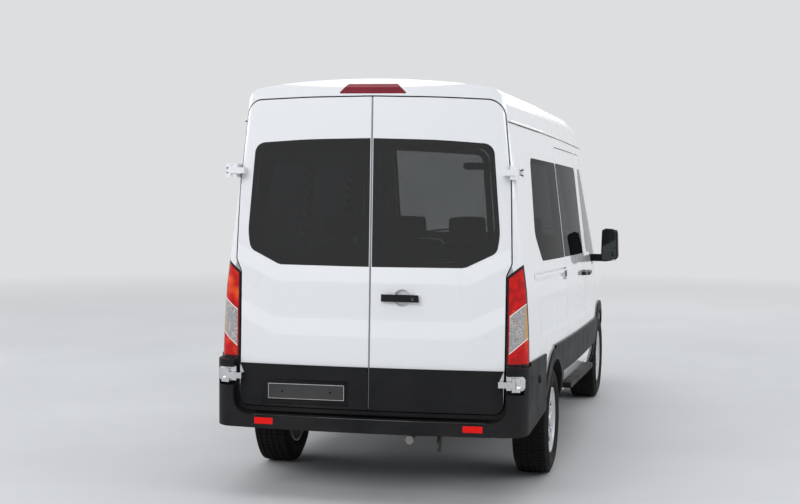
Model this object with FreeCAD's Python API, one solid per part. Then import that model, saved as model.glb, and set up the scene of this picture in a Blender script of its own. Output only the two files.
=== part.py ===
import FreeCAD, Part
import math
import os

V = FreeCAD.Vector

# Minibus on a panel-van body with double rear doors. Millimetres.
# +X is forward, +Y is the left side, +Z is up, and the wheels stand on z = 0.

# Driving dimensions: length, stance and wheels
WHEELBASE = 3300.0
FRONT_OVERHANG = 1023.0
REAR_OVERHANG = 1208.0
TRACK_FRONT = 1736.0
TRACK_REAR = 1742.0
TYRE_R = 350.0
TYRE_W = 235.0
RIM_R = 215.0
RIM_W = 190.0
HALF_LENGTH = (WHEELBASE + FRONT_OVERHANG + REAR_OVERHANG) / 2
X_NOSE = HALF_LENGTH
X_TAIL = -HALF_LENGTH
AXLE_F = X_NOSE - FRONT_OVERHANG
AXLE_R = X_TAIL + REAR_OVERHANG
AXLE_Z = TYRE_R

# Body walls and clearances
WALL = 55.0
GLASS_T = 6.0
SHUT = 6.0
SEAT_GAP = 0.3
CLADDING_T = 14.0

# Every line along the body falls towards the nose by RAKE, measured from X_DATUM
RAKE = 0.042
X_DATUM = X_TAIL + 265.0
GUTTER_Z = 2286.0
BELT_Z = 1452.0
CLADDING_TOP_Z = 888.0
CLADDING_LOW_Z = 680.0
SILL_Z = 522.0
DOOR_LOW_Z = 598.0

# Plan outline of the body at each height: half width at mid length, how far the
# rear face and the nose stand in from the ends, nose radius and corner radii
SIDE_SAG = 46.0
SIDE_MID_X = -200.0
SIDE_SAG_SPAN = 2400.0
TAIL_R = 9000.0
LEVELS = [
    # z, half, tail_in, nose_in, nose_r, tail_corner, nose_corner
    (240.0, 930.0, 58.0, 95.0, 1300.0, 85.0, 240.0),
    (420.0, 975.0, 64.0, 6.0, 1300.0, 85.0, 240.0),
    (620.0, 1002.0, 70.0, 0.0, 1300.0, 85.0, 240.0),
    (860.0, 1004.0, 81.0, 26.0, 1300.0, 85.0, 240.0),
    (1080.0, 997.0, 91.0, 150.0, 1350.0, 85.0, 230.0),
    (1290.0, 985.0, 100.0, 860.0, 1500.0, 85.0, 150.0),
    (2270.0, 866.0, 144.0, 1715.0, 1550.0, 80.0, 110.0),
    (2640.0, 821.0, 160.0, 2037.0, 1550.0, 75.0, 90.0),
]

# Roof: crown height at stations along the body
ROOF_STATIONS = [
    # x, crown
    (X_TAIL - 60.0, 2570.0),
    (-1200.0, 2504.0),
    (300.0, 2441.0),
    (1300.0, 2335.0),
]
ROOF_CROWN_R = 4600.0
SHOULDER_R = 120.0
SIDE_LEAN = math.atan((985.0 - 866.0) / (2270.0 - 1290.0))
ROOF_REAR_R = 60.0
ROOF_SEAM = 0.5

# Side doors, seen from the side
PILLAR_B = AXLE_F - 1340.0
DOOR_FRONT_X = AXLE_F - 450.0
SLIDE_REAR_X = PILLAR_B - 1250.0
DOOR_TOP_DROP = 70.0
DOOR_CORNER_R = 60.0

# Rear doors, seen from behind
REAR_SHUT_Y = 855.0
REAR_SHUT_TOP = 2437.0
REAR_SHUT_LOW = 562.0
REAR_GAP = 8.0
REAR_SPLIT = 10.0
REAR_CLADDING_Z = 818.0
PLATE_Y = 392.0
PLATE_Z = 656.0
PLATE_SPACING = 300.0
PLATE_HOLE_R = 3.0
PLATE_HOLE_DEPTH = 16.0
REAR_HINGE_Y = 885.0
REAR_HINGE_OUT = 20.0
LEAF_REACH = 90.0
REAR_HINGES = [
    # z, bracket's run to the middle, to the outside and forwards of the hinge line
    (745.0, 12.0, 40.0, 88.0),
    (2000.0, 42.0, 30.0, 150.0),
]

# Wheel arches and steering
ARCH_R = 402.0
ARCH_LIP = 78.0
LINER_T = 6.0
LINER_GAP = 6.0
LINER_IN_FRONT = 530.0
LINER_IN_REAR = 660.0
KINGPIN_Y = 843.0
HUB_IN = 82.0
FIREWALL_X = DOOR_FRONT_X + 8.0
FIREWALL_T = 12.0

# Skins in front of the doors
WING_T = 12.0
BONNET_T = 20.0
BONNET_REAR_X = AXLE_F + 205.0
BONNET_LOW_Z = 1092.0
BUMPER_TOP_Z = 735.0
FRONT_SKIN_T = 40.0
LAMP_DEPTH = 45.0

# Floor and the rails below it, both along the falling body lines
FLOOR_TOP = 600.0
FLOOR_T = 40.0
RAIL_Y = 430.0
RAIL_W = 70.0
RAIL_H = 110.0
TOW_X = 88.0
TOW_Z = 359.0
TOW_R = 17.0


def box(low, high):
    """Block between two corners."""
    size = [b - a for a, b in zip(low, high)]
    return Part.makeBox(*size, V(*low))


def both(shape):
    """The shape and its mirror image on the other side of the middle plane."""
    return [shape, mirrored(shape)]


def mirrored(shape):
    return shape.mirror(V(0, 0, 0), V(0, 1, 0))


def fused(shapes):
    shapes = list(shapes)
    whole = shapes[0]
    if len(shapes) > 1:
        whole = whole.fuse(shapes[1:])
    return whole.removeSplitter()


def line_z(base, x):
    """Height at x of a body line that stands at base over X_DATUM."""
    return base - RAKE * (x - X_DATUM)


def line_cross(p, d, q, e):
    """Where the line through p along d meets the line through q along e."""
    cross = d[0] * e[1] - d[1] * e[0]
    t = ((q[0] - p[0]) * e[1] - (q[1] - p[1]) * e[0]) / cross
    return (p[0] + t * d[0], p[1] + t * d[1])


def grown(points, grow):
    """A closed outline of (u, v, radius) corners, moved outwards by grow."""
    area = sum(a[0] * b[1] - b[0] * a[1] for a, b in zip(points, points[1:] + points[:1]))
    if area < 0:
        points = points[::-1]
    if grow == 0:
        return points
    count = len(points)
    moved = []
    for i in range(count):
        before, here, after = points[i - 1], points[i], points[(i + 1) % count]
        sides = []
        for a, b in ((before, here), (here, after)):
            run = math.hypot(b[0] - a[0], b[1] - a[1])
            d = ((b[0] - a[0]) / run, (b[1] - a[1]) / run)
            sides.append(((here[0] + grow * d[1], here[1] - grow * d[0]), d))
        (p, d), (q, e) = sides
        turn = d[0] * e[1] - d[1] * e[0]
        u, v = line_cross(p, d, q, e) if abs(turn) > 1e-6 else p
        radius = here[2]
        if radius > 0:
            radius = max(radius + (grow if turn > 0 else -grow), 1.0)
        moved.append((u, v, radius))
    return moved


WALL_FORMS = {}

PLANES = {
    "side": (lambda u, v: V(u, 0, v), V(0, 1, 0)),
    "rear": (lambda u, v: V(0, u, v), V(1, 0, 0)),
    "plan": (lambda u, v: V(u, v, 0), V(0, 0, 1)),
}


def outline_face(points, plane, offset):
    """Face of an outline with rounded corners, offset along the plane's normal."""
    place, normal = PLANES[plane]
    count = len(points)
    edges = []
    last = None
    first = None
    for i in range(count):
        before, here, after = points[i - 1], points[i], points[(i + 1) % count]
        a = FreeCAD.Vector(before[0] - here[0], before[1] - here[1], 0).normalize()
        b = FreeCAD.Vector(after[0] - here[0], after[1] - here[1], 0).normalize()
        p = V(here[0], here[1], 0)
        if here[2] > 0:
            half = a.getAngle(b) / 2
            cut = here[2] / math.tan(half)
            start, end = p + a * cut, p + b * cut
            bisector = (a + b).normalize()
            middle = p + bisector * (here[2] / math.sin(half) - here[2])
        else:
            start = end = p
        if last is not None:
            edges.append(Part.makeLine(place(last.x, last.y), place(start.x, start.y)))
        else:
            first = start
        if here[2] > 0:
            edges.append(Part.Arc(place(start.x, start.y), place(middle.x, middle.y),
                                  place(end.x, end.y)).toShape())
        last = end
    edges.append(Part.makeLine(place(last.x, last.y), place(first.x, first.y)))
    face = Part.Face(Part.Wire(edges))
    face.translate(normal * offset)
    return face


def prism(points, plane, low, high, grow=0.0):
    """Solid of an outline between two offsets along its plane's normal."""
    normal = PLANES[plane][1]
    return outline_face(grown(points, grow), plane, low).extrude(normal * (high - low))


def circle_meet(c1, r1, c2, r2, front):
    """Where two circles in a plane meet: the meeting point further front or back."""
    dx, dy = c2[0] - c1[0], c2[1] - c1[1]
    d = math.hypot(dx, dy)
    along = (r1 * r1 - r2 * r2 + d * d) / (2 * d)
    up = math.sqrt(r1 * r1 - along * along)
    mid = (c1[0] + along * dx / d, c1[1] + along * dy / d)
    options = [(mid[0] - s * up * dy / d, mid[1] + s * up * dx / d) for s in (1, -1)]
    return max(options) if front else min(options)


def away(center, through, radius):
    """Point at radius from center, in the direction of through."""
    run = math.hypot(through[0] - center[0], through[1] - center[1])
    return tuple(c + radius * (t - c) / run for c, t in zip(center, through))


def plan_wire(level, inset):
    """Closed plan outline: tail arc, side arcs and nose arc with rounded corners."""
    z, half, tail_in, nose_in, nose_r, tail_corner, nose_corner = level
    half -= inset
    tail = X_TAIL + tail_in + inset
    nose = X_NOSE - nose_in - inset
    side_r = SIDE_SAG_SPAN ** 2 / (2 * SIDE_SAG) - inset
    tail_r = TAIL_R - inset
    nose_r = nose_r - inset
    side_c = (SIDE_MID_X, half - side_r)
    tail_c = (tail + tail_r, 0.0)
    nose_c = (nose - nose_r, 0.0)
    r1, r2 = max(tail_corner - inset, 20.0), max(nose_corner - inset, 20.0)
    k1 = circle_meet(side_c, side_r - r1, tail_c, tail_r - r1, False)
    k2 = circle_meet(side_c, side_r - r2, nose_c, nose_r - r2, True)
    tail_end = away(tail_c, k1, tail_r)
    side_rear = away(side_c, k1, side_r)
    side_front = away(side_c, k2, side_r)
    nose_end = away(nose_c, k2, nose_r)
    mid1 = away(k1, ((tail_end[0] + side_rear[0]) / 2, (tail_end[1] + side_rear[1]) / 2), r1)
    mid2 = away(k2, ((nose_end[0] + side_front[0]) / 2, (nose_end[1] + side_front[1]) / 2), r2)
    side_mid = away(side_c, ((side_rear[0] + side_front[0]) / 2,
                             (side_rear[1] + side_front[1]) / 2), side_r)

    def arc(a, b, c):
        return Part.Arc(V(*a, z), V(*b, z), V(*c, z)).toShape()

    def flip(p):
        return (p[0], -p[1])

    return Part.Wire([
        arc(flip(tail_end), (tail, 0.0), tail_end),
        arc(tail_end, mid1, side_rear),
        arc(side_rear, side_mid, side_front),
        arc(side_front, mid2, nose_end),
        arc(nose_end, (nose, 0.0), flip(nose_end)),
        arc(flip(nose_end), flip(mid2), flip(side_front)),
        arc(flip(side_front), flip(side_mid), flip(side_rear)),
        arc(flip(side_rear), flip(mid1), flip(tail_end)),
    ])


def level_half(z):
    """Half width of the body at mid length and height z."""
    for a, b in zip(LEVELS, LEVELS[1:]):
        if z <= b[0]:
            return a[1] + (b[1] - a[1]) * (z - a[0]) / (b[0] - a[0])
    return LEVELS[-1][1]


def half_at(x, z):
    """Half width of the body side at any place."""
    return level_half(z) - (x - SIDE_MID_X) ** 2 * SIDE_SAG / SIDE_SAG_SPAN ** 2


def tail_at(z):
    """Where the rear face stands at height z, on the middle plane."""
    for a, b in zip(LEVELS, LEVELS[1:]):
        if z <= b[0]:
            return X_TAIL + a[2] + (b[2] - a[2]) * (z - a[0]) / (b[0] - a[0])
    return X_TAIL + LEVELS[-1][2]


def roof_wire(x, crown, inset):
    """Cross-section that rounds the roof: leaning sides, shoulder arcs, crown arc."""
    gutter = line_z(GUTTER_Z, x)
    half = half_at(x, gutter) + ROOF_SEAM - inset / math.cos(SIDE_LEAN)
    crown -= inset
    r = SHOULDER_R - inset
    big = ROOF_CROWN_R - inset
    base_z = 1400.0
    lean = (math.sin(SIDE_LEAN), math.cos(SIDE_LEAN))
    center = (0.0, crown - big)
    side_x = half + (gutter - base_z) * math.tan(SIDE_LEAN)
    # Shoulder centre: r inside the side line and big - r from the crown's centre
    line_p = (side_x - r / math.cos(SIDE_LEAN), base_z)
    d = (-lean[0], lean[1])
    px, pz = line_p[0] - center[0], line_p[1] - center[1]
    b = px * d[0] + pz * d[1]
    c = px * px + pz * pz - (big - r) ** 2
    t = -b + math.sqrt(b * b - c)
    k = (line_p[0] + t * d[0], line_p[1] + t * d[1])
    side_end = (k[0] + r * lean[1], k[1] + r * lean[0])
    crown_end = away(center, k, big)
    mid = away(k, ((side_end[0] + crown_end[0]) / 2, (side_end[1] + crown_end[1]) / 2), r)

    def p(y, z):
        return V(x, y, z)

    return Part.Wire([
        Part.makeLine(p(-side_x, base_z), p(side_x, base_z)),
        Part.makeLine(p(side_x, base_z), p(*side_end)),
        Part.Arc(p(*side_end), p(*mid), p(*crown_end)).toShape(),
        Part.Arc(p(*crown_end), p(0, crown), p(-crown_end[0], crown_end[1])).toShape(),
        Part.Arc(p(-crown_end[0], crown_end[1]), p(-mid[0], mid[1]),
                 p(-side_end[0], side_end[1])).toShape(),
        Part.makeLine(p(-side_end[0], side_end[1]), p(-side_x, base_z)),
    ])


def walls(inset):
    """The body's side, tail and front walls as one closed form, moved inwards by inset."""
    if inset not in WALL_FORMS:
        WALL_FORMS[inset] = Part.makeLoft([plan_wire(level, inset) for level in LEVELS], True, True)
    return WALL_FORMS[inset]


def roofed(inset):
    """The walls above the seat line, rounded over by the roof."""
    wires = [roof_wire(x, crown, inset) for x, crown in ROOF_STATIONS]
    arch = Part.makeLoft(wires, True, True)
    form = walls(inset).common(arch)
    top = ROOF_STATIONS[0][1] - RAKE * 100 - inset
    rear = tail_at(top) + inset
    r = ROOF_REAR_R
    cutter = prism([(rear - 300, top + 300, 0), (rear - 300, top - r, 0), (rear - 2, top - r, 0),
                    (rear + r, top + r * 0.05, 0), (rear + r, top + 300, 0)], "side", -1500, 1500)
    return form.cut(cutter)


def skin(zone, depth, proud=0.0):
    """Layer of the body's wall inside a zone, from proud of the outer face to a depth."""
    return walls(-proud).common(zone).cut(walls(depth))


def export(node, shape):
    """Write one sub-part, with each of its solids sound."""
    solids = shape.Solids
    shape = solids[0] if len(solids) == 1 else Part.makeCompound(solids)
    shape.exportStep("parts/%s.step" % node)
    print("%-22s solids %d valid %s volume %.4f m3" % (
        node, len(solids), shape.isValid(), sum(s.Volume for s in solids) / 1e9))


def slanted(x0, x1, low, high, r=0.0):
    """Outline between two falling body lines."""
    return [(x0, line_z(low, x0), r), (x1, line_z(low, x1), r),
            (x1, line_z(high, x1), r), (x0, line_z(high, x0), r)]


def cylinder_y(x, y0, y1, z, r):
    """Cylinder along Y between two offsets."""
    return Part.makeCylinder(r, abs(y1 - y0), V(x, min(y0, y1), z), V(0, 1, 0))


def turned(profile, x, y, z, out):
    """Ring or disc turned about the Y axis from (radius, offset) points; out is the outer side."""
    points = [V(r, out * w, 0) for r, w in profile]
    wire = Part.makePolygon(points + points[:1])
    solid = Part.Face(wire).revolve(V(0, 0, 0), V(0, 1, 0), 360)
    solid = Part.Solid(solid.Shells[0]) if not isinstance(solid, Part.Solid) else solid
    if solid.Volume < 0:
        solid.reverse()
    solid.translate(V(x, y, z))
    return solid


FAR = 4000.0

# Outlines of doors and windows, seen from the side
FRONT_DOOR = [
    (PILLAR_B + SHUT / 2, line_z(DOOR_LOW_Z, PILLAR_B), DOOR_CORNER_R),
    (DOOR_FRONT_X, line_z(DOOR_LOW_Z, DOOR_FRONT_X), DOOR_CORNER_R),
    (DOOR_FRONT_X, 1360.0, DOOR_CORNER_R),
    (DOOR_FRONT_X - 520.0, line_z(GUTTER_Z, DOOR_FRONT_X - 520.0) - DOOR_TOP_DROP, 90.0),
    (PILLAR_B + SHUT / 2, line_z(GUTTER_Z, PILLAR_B) - DOOR_TOP_DROP, DOOR_CORNER_R),
]
SLIDING_DOOR = [
    (SLIDE_REAR_X, line_z(DOOR_LOW_Z, SLIDE_REAR_X), DOOR_CORNER_R),
    (PILLAR_B - SHUT / 2, line_z(DOOR_LOW_Z, PILLAR_B), DOOR_CORNER_R),
    (PILLAR_B - SHUT / 2, line_z(GUTTER_Z, PILLAR_B) - DOOR_TOP_DROP, DOOR_CORNER_R),
    (SLIDE_REAR_X, line_z(GUTTER_Z, SLIDE_REAR_X) - DOOR_TOP_DROP, DOOR_CORNER_R),
]
WINDOW_TOP_Z = 2106.0
WINDOW_R = 60.0
LEDGE = 32.0
WINDOW_RIM = 8.0
QUARTER_WINDOW = [
    (X_TAIL + 880.0, line_z(BELT_Z, X_TAIL + 880.0), 90.0),
    (SLIDE_REAR_X - WINDOW_RIM - SHUT, line_z(BELT_Z, SLIDE_REAR_X), 20.0),
    (SLIDE_REAR_X - WINDOW_RIM - SHUT, line_z(WINDOW_TOP_Z, SLIDE_REAR_X), 20.0),
    (X_TAIL + 820.0, line_z(WINDOW_TOP_Z, X_TAIL + 820.0), WINDOW_R),
    (X_TAIL + 690.0, line_z(BELT_Z + 170.0, X_TAIL + 690.0), 90.0),
]
MIDDLE_WINDOW = [
    (SLIDE_REAR_X + WINDOW_RIM, line_z(BELT_Z, SLIDE_REAR_X), 20.0),
    (PILLAR_B - 60.0, line_z(BELT_Z, PILLAR_B - 60.0), WINDOW_R),
    (PILLAR_B - 60.0, line_z(WINDOW_TOP_Z, PILLAR_B - 60.0), WINDOW_R),
    (SLIDE_REAR_X + WINDOW_RIM, line_z(WINDOW_TOP_Z, SLIDE_REAR_X), 20.0),
]
DOOR_WINDOW = [
    (PILLAR_B + 160.0, line_z(BELT_Z, PILLAR_B), WINDOW_R),
    (PILLAR_B + 420.0, line_z(BELT_Z, PILLAR_B + 420.0), 150.0),
    (DOOR_FRONT_X - 250.0, 1190.0, 150.0),
    (DOOR_FRONT_X - 62.0, 1190.0, 50.0),
    (DOOR_FRONT_X - 62.0, 1330.0, 60.0),
    (DOOR_FRONT_X - 540.0, line_z(WINDOW_TOP_Z, DOOR_FRONT_X - 540.0), 80.0),
    (PILLAR_B + 160.0, line_z(WINDOW_TOP_Z, PILLAR_B), WINDOW_R),
]

# Outlines seen from behind, left half
REAR_DOOR = [
    (REAR_SPLIT / 2, REAR_SHUT_LOW, 0.0),
    (REAR_SHUT_Y - 35.0, REAR_SHUT_LOW, 60.0),
    (REAR_SHUT_Y - 35.0, 1385.0, 60.0),
    (REAR_SHUT_Y - 3.0, 1455.0, 60.0),
    (REAR_SHUT_Y - 17.0, 1930.0, 2500.0),
    (REAR_SHUT_Y - 67.0, REAR_SHUT_TOP - 12.0, 105.0),
    (400.0, REAR_SHUT_TOP + 6.0, 6000.0),
    (REAR_SPLIT / 2, REAR_SHUT_TOP + 12.0, 0.0),
]
REAR_WINDOW = [
    (9.0, 1425.0, 0.0),
    (575.0, 1428.0, 90.0),
    (765.0, 1520.0, 60.0),
    (783.0, 1620.0, 400.0),
    (738.0, 2168.0, 70.0),
    (400.0, 2192.0, 4000.0),
    (9.0, 2200.0, 0.0),
]
REAR_OPENING = [(45.0, 1425.0 + LEDGE, 50.0)] + [
    (y - LEDGE, z + (LEDGE if z < 1800 else -LEDGE), min(r, 300.0)) for y, z, r in REAR_WINDOW[1:5]
] + [(45.0, 2200.0 - LEDGE, 50.0)]
TAIL_LAMP = [
    (829.0, 845.0, 15.0),
    (1100.0, 845.0, 0.0),
    (1100.0, 1470.0, 0.0),
    (940.0, 1466.0, 45.0),
    (829.0, 1378.0, 25.0),
]
BRAKE_LAMP = [(-212.0, 2468.0, 5.0), (212.0, 2468.0, 5.0), (152.0, 2526.0, 20.0), (-152.0, 2526.0, 20.0)]
SCREEN = [
    (-790.0, 1345.0, 70.0),
    (790.0, 1345.0, 70.0),
    (700.0, 2225.0, 90.0),
    (-700.0, 2225.0, 90.0),
]
GRILLE = [
    (-470.0, BUMPER_TOP_Z + SEAT_GAP, 40.0),
    (470.0, BUMPER_TOP_Z + SEAT_GAP, 40.0),
    (540.0, 1040.0, 60.0),
    (-540.0, 1040.0, 60.0),
]
RAIL_RECESS = [(X_TAIL + 500, 1325.0, 20.0), (SLIDE_REAR_X + 10, 1227.0, 0.0),
               (SLIDE_REAR_X + 10, 1312.0, 0.0), (X_TAIL + 500, 1378.0, 20.0)]
RAIL_DEPTH = 12.0
CARRIER = [(SLIDE_REAR_X - 120, 1256.0, 8.0), (SLIDE_REAR_X + 5, 1248.0, 0.0),
           (SLIDE_REAR_X + 5, 1288.0, 0.0), (SLIDE_REAR_X - 120, 1296.0, 8.0)]
BUMPER_SLOT = [(-520.0, 400.0, 30.0), (520.0, 400.0, 30.0), (470.0, 610.0, 40.0), (-470.0, 610.0, 40.0)]

os.makedirs("parts", exist_ok=True)


def tail_block(inset):
    """All that lies in front of the rear face, moved forwards by inset."""
    wide = [(z, half + 400, tail_in + inset, 2000.0, 3000.0, 85.0, 240.0)
            for z, half, tail_in, nose_in, nose_r, tail_corner, nose_corner in LEVELS]
    return Part.makeLoft([plan_wire(level, 0) for level in wide], True, True)


def glazed(panel, outline, plane, low, high, opening=None):
    """Panel with a rebated window opening, and the pane that fills it."""
    pane = skin(prism(outline, plane, low, high), GLASS_T)
    seat = skin(prism(outline, plane, low, high, SEAT_GAP), GLASS_T + SEAT_GAP, CLADDING_T)
    through = prism(opening or outline, plane, low, high, 0.0 if opening else -LEDGE)
    return panel.cut([seat, through]), pane


# Body sides: the shell below the gutter, with door openings, arches and lamps cut
side_zone = prism(slanted(X_TAIL - 200, DOOR_FRONT_X + SHUT, SILL_Z, GUTTER_Z - ROOF_SEAM), "side", -FAR, 0)
screen_zone = prism([(DOOR_FRONT_X + SHUT - 1, 1285.0, 0), (FAR, 1285.0, 0),
                     (FAR, line_z(GUTTER_Z, FAR) - ROOF_SEAM, 0),
                     (DOOR_FRONT_X + SHUT - 1, line_z(GUTTER_Z, DOOR_FRONT_X) - ROOF_SEAM, 0)], "side", -FAR, 0)
arches = [cylinder_y(x, -FAR, FAR, AXLE_Z, ARCH_R) for x in (AXLE_F, AXLE_R)]
lamp_right = mirrored(prism(TAIL_LAMP, "rear", X_TAIL - 100, X_TAIL + 205))
lamp_hole = mirrored(prism(TAIL_LAMP, "rear", X_TAIL - 100, X_TAIL + 205 + SHUT / 2, SHUT / 2))
lamp_pocket = skin(lamp_hole, LAMP_DEPTH + SEAT_GAP, CLADDING_T)
house_r = ARCH_R + LINER_GAP + LINER_T
hinge_post = walls(WING_T + SEAT_GAP).common(
    box((DOOR_FRONT_X + SHUT, -FAR, line_z(SILL_Z, DOOR_FRONT_X)),
        (DOOR_FRONT_X + 110, 0, 1290))).cut([
            walls(WING_T + WALL), cylinder_y(AXLE_F, -FAR, 0, AXLE_Z, house_r + SEAT_GAP)])
hinge_plates = skin(fused([box((DOOR_FRONT_X + SEAT_GAP, -FAR, z - 45), (DOOR_FRONT_X + SHUT + 2, 0, z + 45))
                           for z in (720.0, 1130.0)]).common(walls(22.0)), 50.0)

door_zone = tail_block(WALL)
aperture = prism(REAR_DOOR, "rear", X_TAIL - 200, X_TAIL + 500, REAR_GAP).cut(tail_block(WALL + SHUT))
aperture = [aperture, mirrored(aperture)]

# Rear bumper envelope: one plan outline raised, with its upper edge falling forwards
BUMPER_HALF = 1014.0
BUMPER_LOW = 425.0
BUMPER_STEP_Z = 512.0
BUMPER_CORNER_TOP = 874.0
BUMPER_WALL = 45.0
bumper_plan = (BUMPER_LOW, BUMPER_HALF, 0.0, 0.0, 1300.0, 110.0, 240.0)
bumper_end = AXLE_R - ARCH_R - 4.0


def bumper_block(inset):
    face = Part.Face(plan_wire(bumper_plan, inset))
    block = face.extrude(V(0, 0, 600))
    limit = prism([(X_TAIL - 50, BUMPER_LOW, 0), (bumper_end, BUMPER_LOW + 60, 0),
                   (bumper_end, line_z(CLADDING_TOP_Z, bumper_end) - 22, 0),
                   (X_TAIL - 50, BUMPER_CORNER_TOP, 0)], "side", -FAR, FAR)
    return block.common(limit)


bumper_full = bumper_block(0.0)
bumper_hole = prism([(-846.0, BUMPER_STEP_Z, 95.0), (846.0, BUMPER_STEP_Z, 95.0),
                     (846.0, 1200.0, 0.0), (-846.0, 1200.0, 0.0)],
                    "rear", X_TAIL - 100, X_TAIL + 700)
step_top = box((X_TAIL + 8, -730, BUMPER_STEP_Z - 30), (X_TAIL + 160, 730, BUMPER_STEP_Z))
rear_bumper = bumper_full.cut([bumper_block(BUMPER_WALL), bumper_hole])
rear_bumper = rear_bumper.fuse(step_top.common(bumper_full)).removeSplitter()
hinge_recess = box((X_TAIL - 10, -945, 685), (X_TAIL + 150, -840, 797))
rear_bumper = rear_bumper.cut([lamp_hole, mirrored(lamp_hole)] + both(hinge_recess))
bumper_shell = bumper_full.cut(bumper_block(BUMPER_WALL + SEAT_GAP))

REAR_SLOPE = (LEVELS[6][2] - LEVELS[2][2]) / (LEVELS[6][0] - LEVELS[2][0])
REAR_LEAN = math.degrees(math.atan(REAR_SLOPE))


def rear_axis_x(z):
    """Where the rear doors' leaning hinge line stands at height z."""
    return X_TAIL + LEVELS[2][2] + REAR_SLOPE * (z - LEVELS[2][0]) - REAR_HINGE_OUT


def rear_hinge(z, inner, outer, reach):
    """Leaf on the right rear door and bracket on the body, one set about the hinge line."""
    x, y = rear_axis_x(z), -REAR_HINGE_Y
    skin_x = tail_at(z) + 45.0
    leaf = fused([box((x - 12, y, z - 18), (x + 12, y + LEAF_REACH, z + 18)),
                  box((x - 12, y + LEAF_REACH - 22, z - 18), (skin_x, y + LEAF_REACH, z + 18)),
                  Part.makeCylinder(12, 36, V(x, y, z - 18))])
    near, far = 18 + SEAT_GAP, 42.0
    bracket = fused([part for low, high in ((z - far, z - near), (z + near, z + far))
                     for part in (box((x, y - outer, low), (x + reach, y + inner, high)),
                                  Part.makeCylinder(12, high - low, V(x, y, low)))] +
                    [box((x + 30, y - outer, z - far), (x + reach, y - outer + 20, z + far))])
    for piece in (leaf, bracket):
        piece.rotate(V(x, y, z), V(0, 1, 0), REAR_LEAN)
    return leaf, bracket


rear_leaves, rear_brackets = zip(*[rear_hinge(*row) for row in REAR_HINGES])
rear_leaves, rear_brackets = list(rear_leaves), list(rear_brackets)

screen_pane = skin(prism(SCREEN, "rear", 500, 2200), GLASS_T)
screen_seat = skin(prism(SCREEN, "rear", 500, 2200, SEAT_GAP), GLASS_T + SEAT_GAP, CLADDING_T)
screen_hole = prism(SCREEN, "rear", 500, 2200, -LEDGE)

right_side = walls(0).common(side_zone.fuse(screen_zone)).cut(walls(WALL))
right_side = right_side.cut(arches + aperture + [lamp_pocket, bumper_shell, screen_seat, screen_hole,
                                                 prism(FRONT_DOOR, "side", -FAR, 0, SHUT)])
pillar_b = prism(slanted(PILLAR_B - 45, PILLAR_B + 45, FLOOR_TOP + SEAT_GAP, GUTTER_Z - 10), "side", -FAR, 0)
pillar_b = walls(WALL - 1).common(pillar_b).cut(
    [walls(WALL + SHUT + 40), prism(FRONT_DOOR, "side", -FAR, 0, SHUT).cut(walls(WALL + SHUT)),
     prism(SLIDING_DOOR, "side", -FAR, 0, SHUT).cut(walls(WALL + SHUT))])
right_side = right_side.fuse([hinge_post, hinge_plates, pillar_b] + rear_brackets).removeSplitter()
left_side = mirrored(right_side)
rail_recess = skin(prism(RAIL_RECESS, "side", -FAR, 0), RAIL_DEPTH, CLADDING_T)
right_side = right_side.cut([skin(prism(SLIDING_DOOR, "side", -FAR, 0, SHUT), WALL + SHUT, CLADDING_T),
                             rail_recess])
right_side, quarter_right = glazed(right_side, QUARTER_WINDOW, "side", -FAR, 0)
left_side, quarter_left = glazed(left_side, QUARTER_WINDOW, "side", 0, FAR)
left_side, middle_left = glazed(left_side, MIDDLE_WINDOW, "side", 0, FAR)

# Roof: the shell above the gutter
above_gutter = prism(slanted(-3000, 3000, GUTTER_Z, GUTTER_Z + 600), "side", -FAR, FAR)
brake_lamp = prism(BRAKE_LAMP, "rear", X_TAIL - 100, X_TAIL + 185).common(roofed(0))
brake_hole = prism(BRAKE_LAMP, "rear", X_TAIL - 100, X_TAIL + 185 + SEAT_GAP, SEAT_GAP)
roof = roofed(0).common(above_gutter).cut([roofed(WALL)] + aperture + [screen_seat, screen_hole, brake_hole])

# Doors: a length of the wall with its cladding and rebated window
cladding_zone = prism(slanted(-3000, 3000, CLADDING_LOW_Z, CLADDING_TOP_Z), "side", -FAR, 0)


def side_door(outline, window):
    zone = prism(outline, "side", -FAR, 0)
    door = skin(zone, WALL).fuse(skin(zone.common(cladding_zone), WALL / 2, CLADDING_T))
    return glazed(door.removeSplitter(), window, "side", -FAR, 0)


def bar_handle(x0, x1, z):
    """Pull handle on the right side's skin: a bar on two feet."""
    y = -half_at((x0 + x1) / 2, z)
    return fused([box((x0, y - 32, z - 14), (x1, y - 16, z + 14))] +
                 [box((x, y - 20, z - 14), (x + 22, y + 12, z + 14)) for x in (x0, x1 - 22)])


front_door, front_pane = side_door(FRONT_DOOR, DOOR_WINDOW)
swing_edge = walls(8.0).common(box((PILLAR_B - 20, -FAR, 0), (PILLAR_B + 13, 0, FAR)))
front_door = front_door.cut(swing_edge).fuse(bar_handle(PILLAR_B + 60, PILLAR_B + 240, 1166.0)).removeSplitter()
sliding_door, middle_right = side_door(SLIDING_DOOR, MIDDLE_WINDOW)
carrier = skin(prism(CARRIER, "side", -FAR, 0), RAIL_DEPTH - SEAT_GAP, 4.0)
sliding_door = sliding_door.fuse([bar_handle(PILLAR_B - 250, PILLAR_B - 70, 1189.0), carrier]).removeSplitter()

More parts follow.
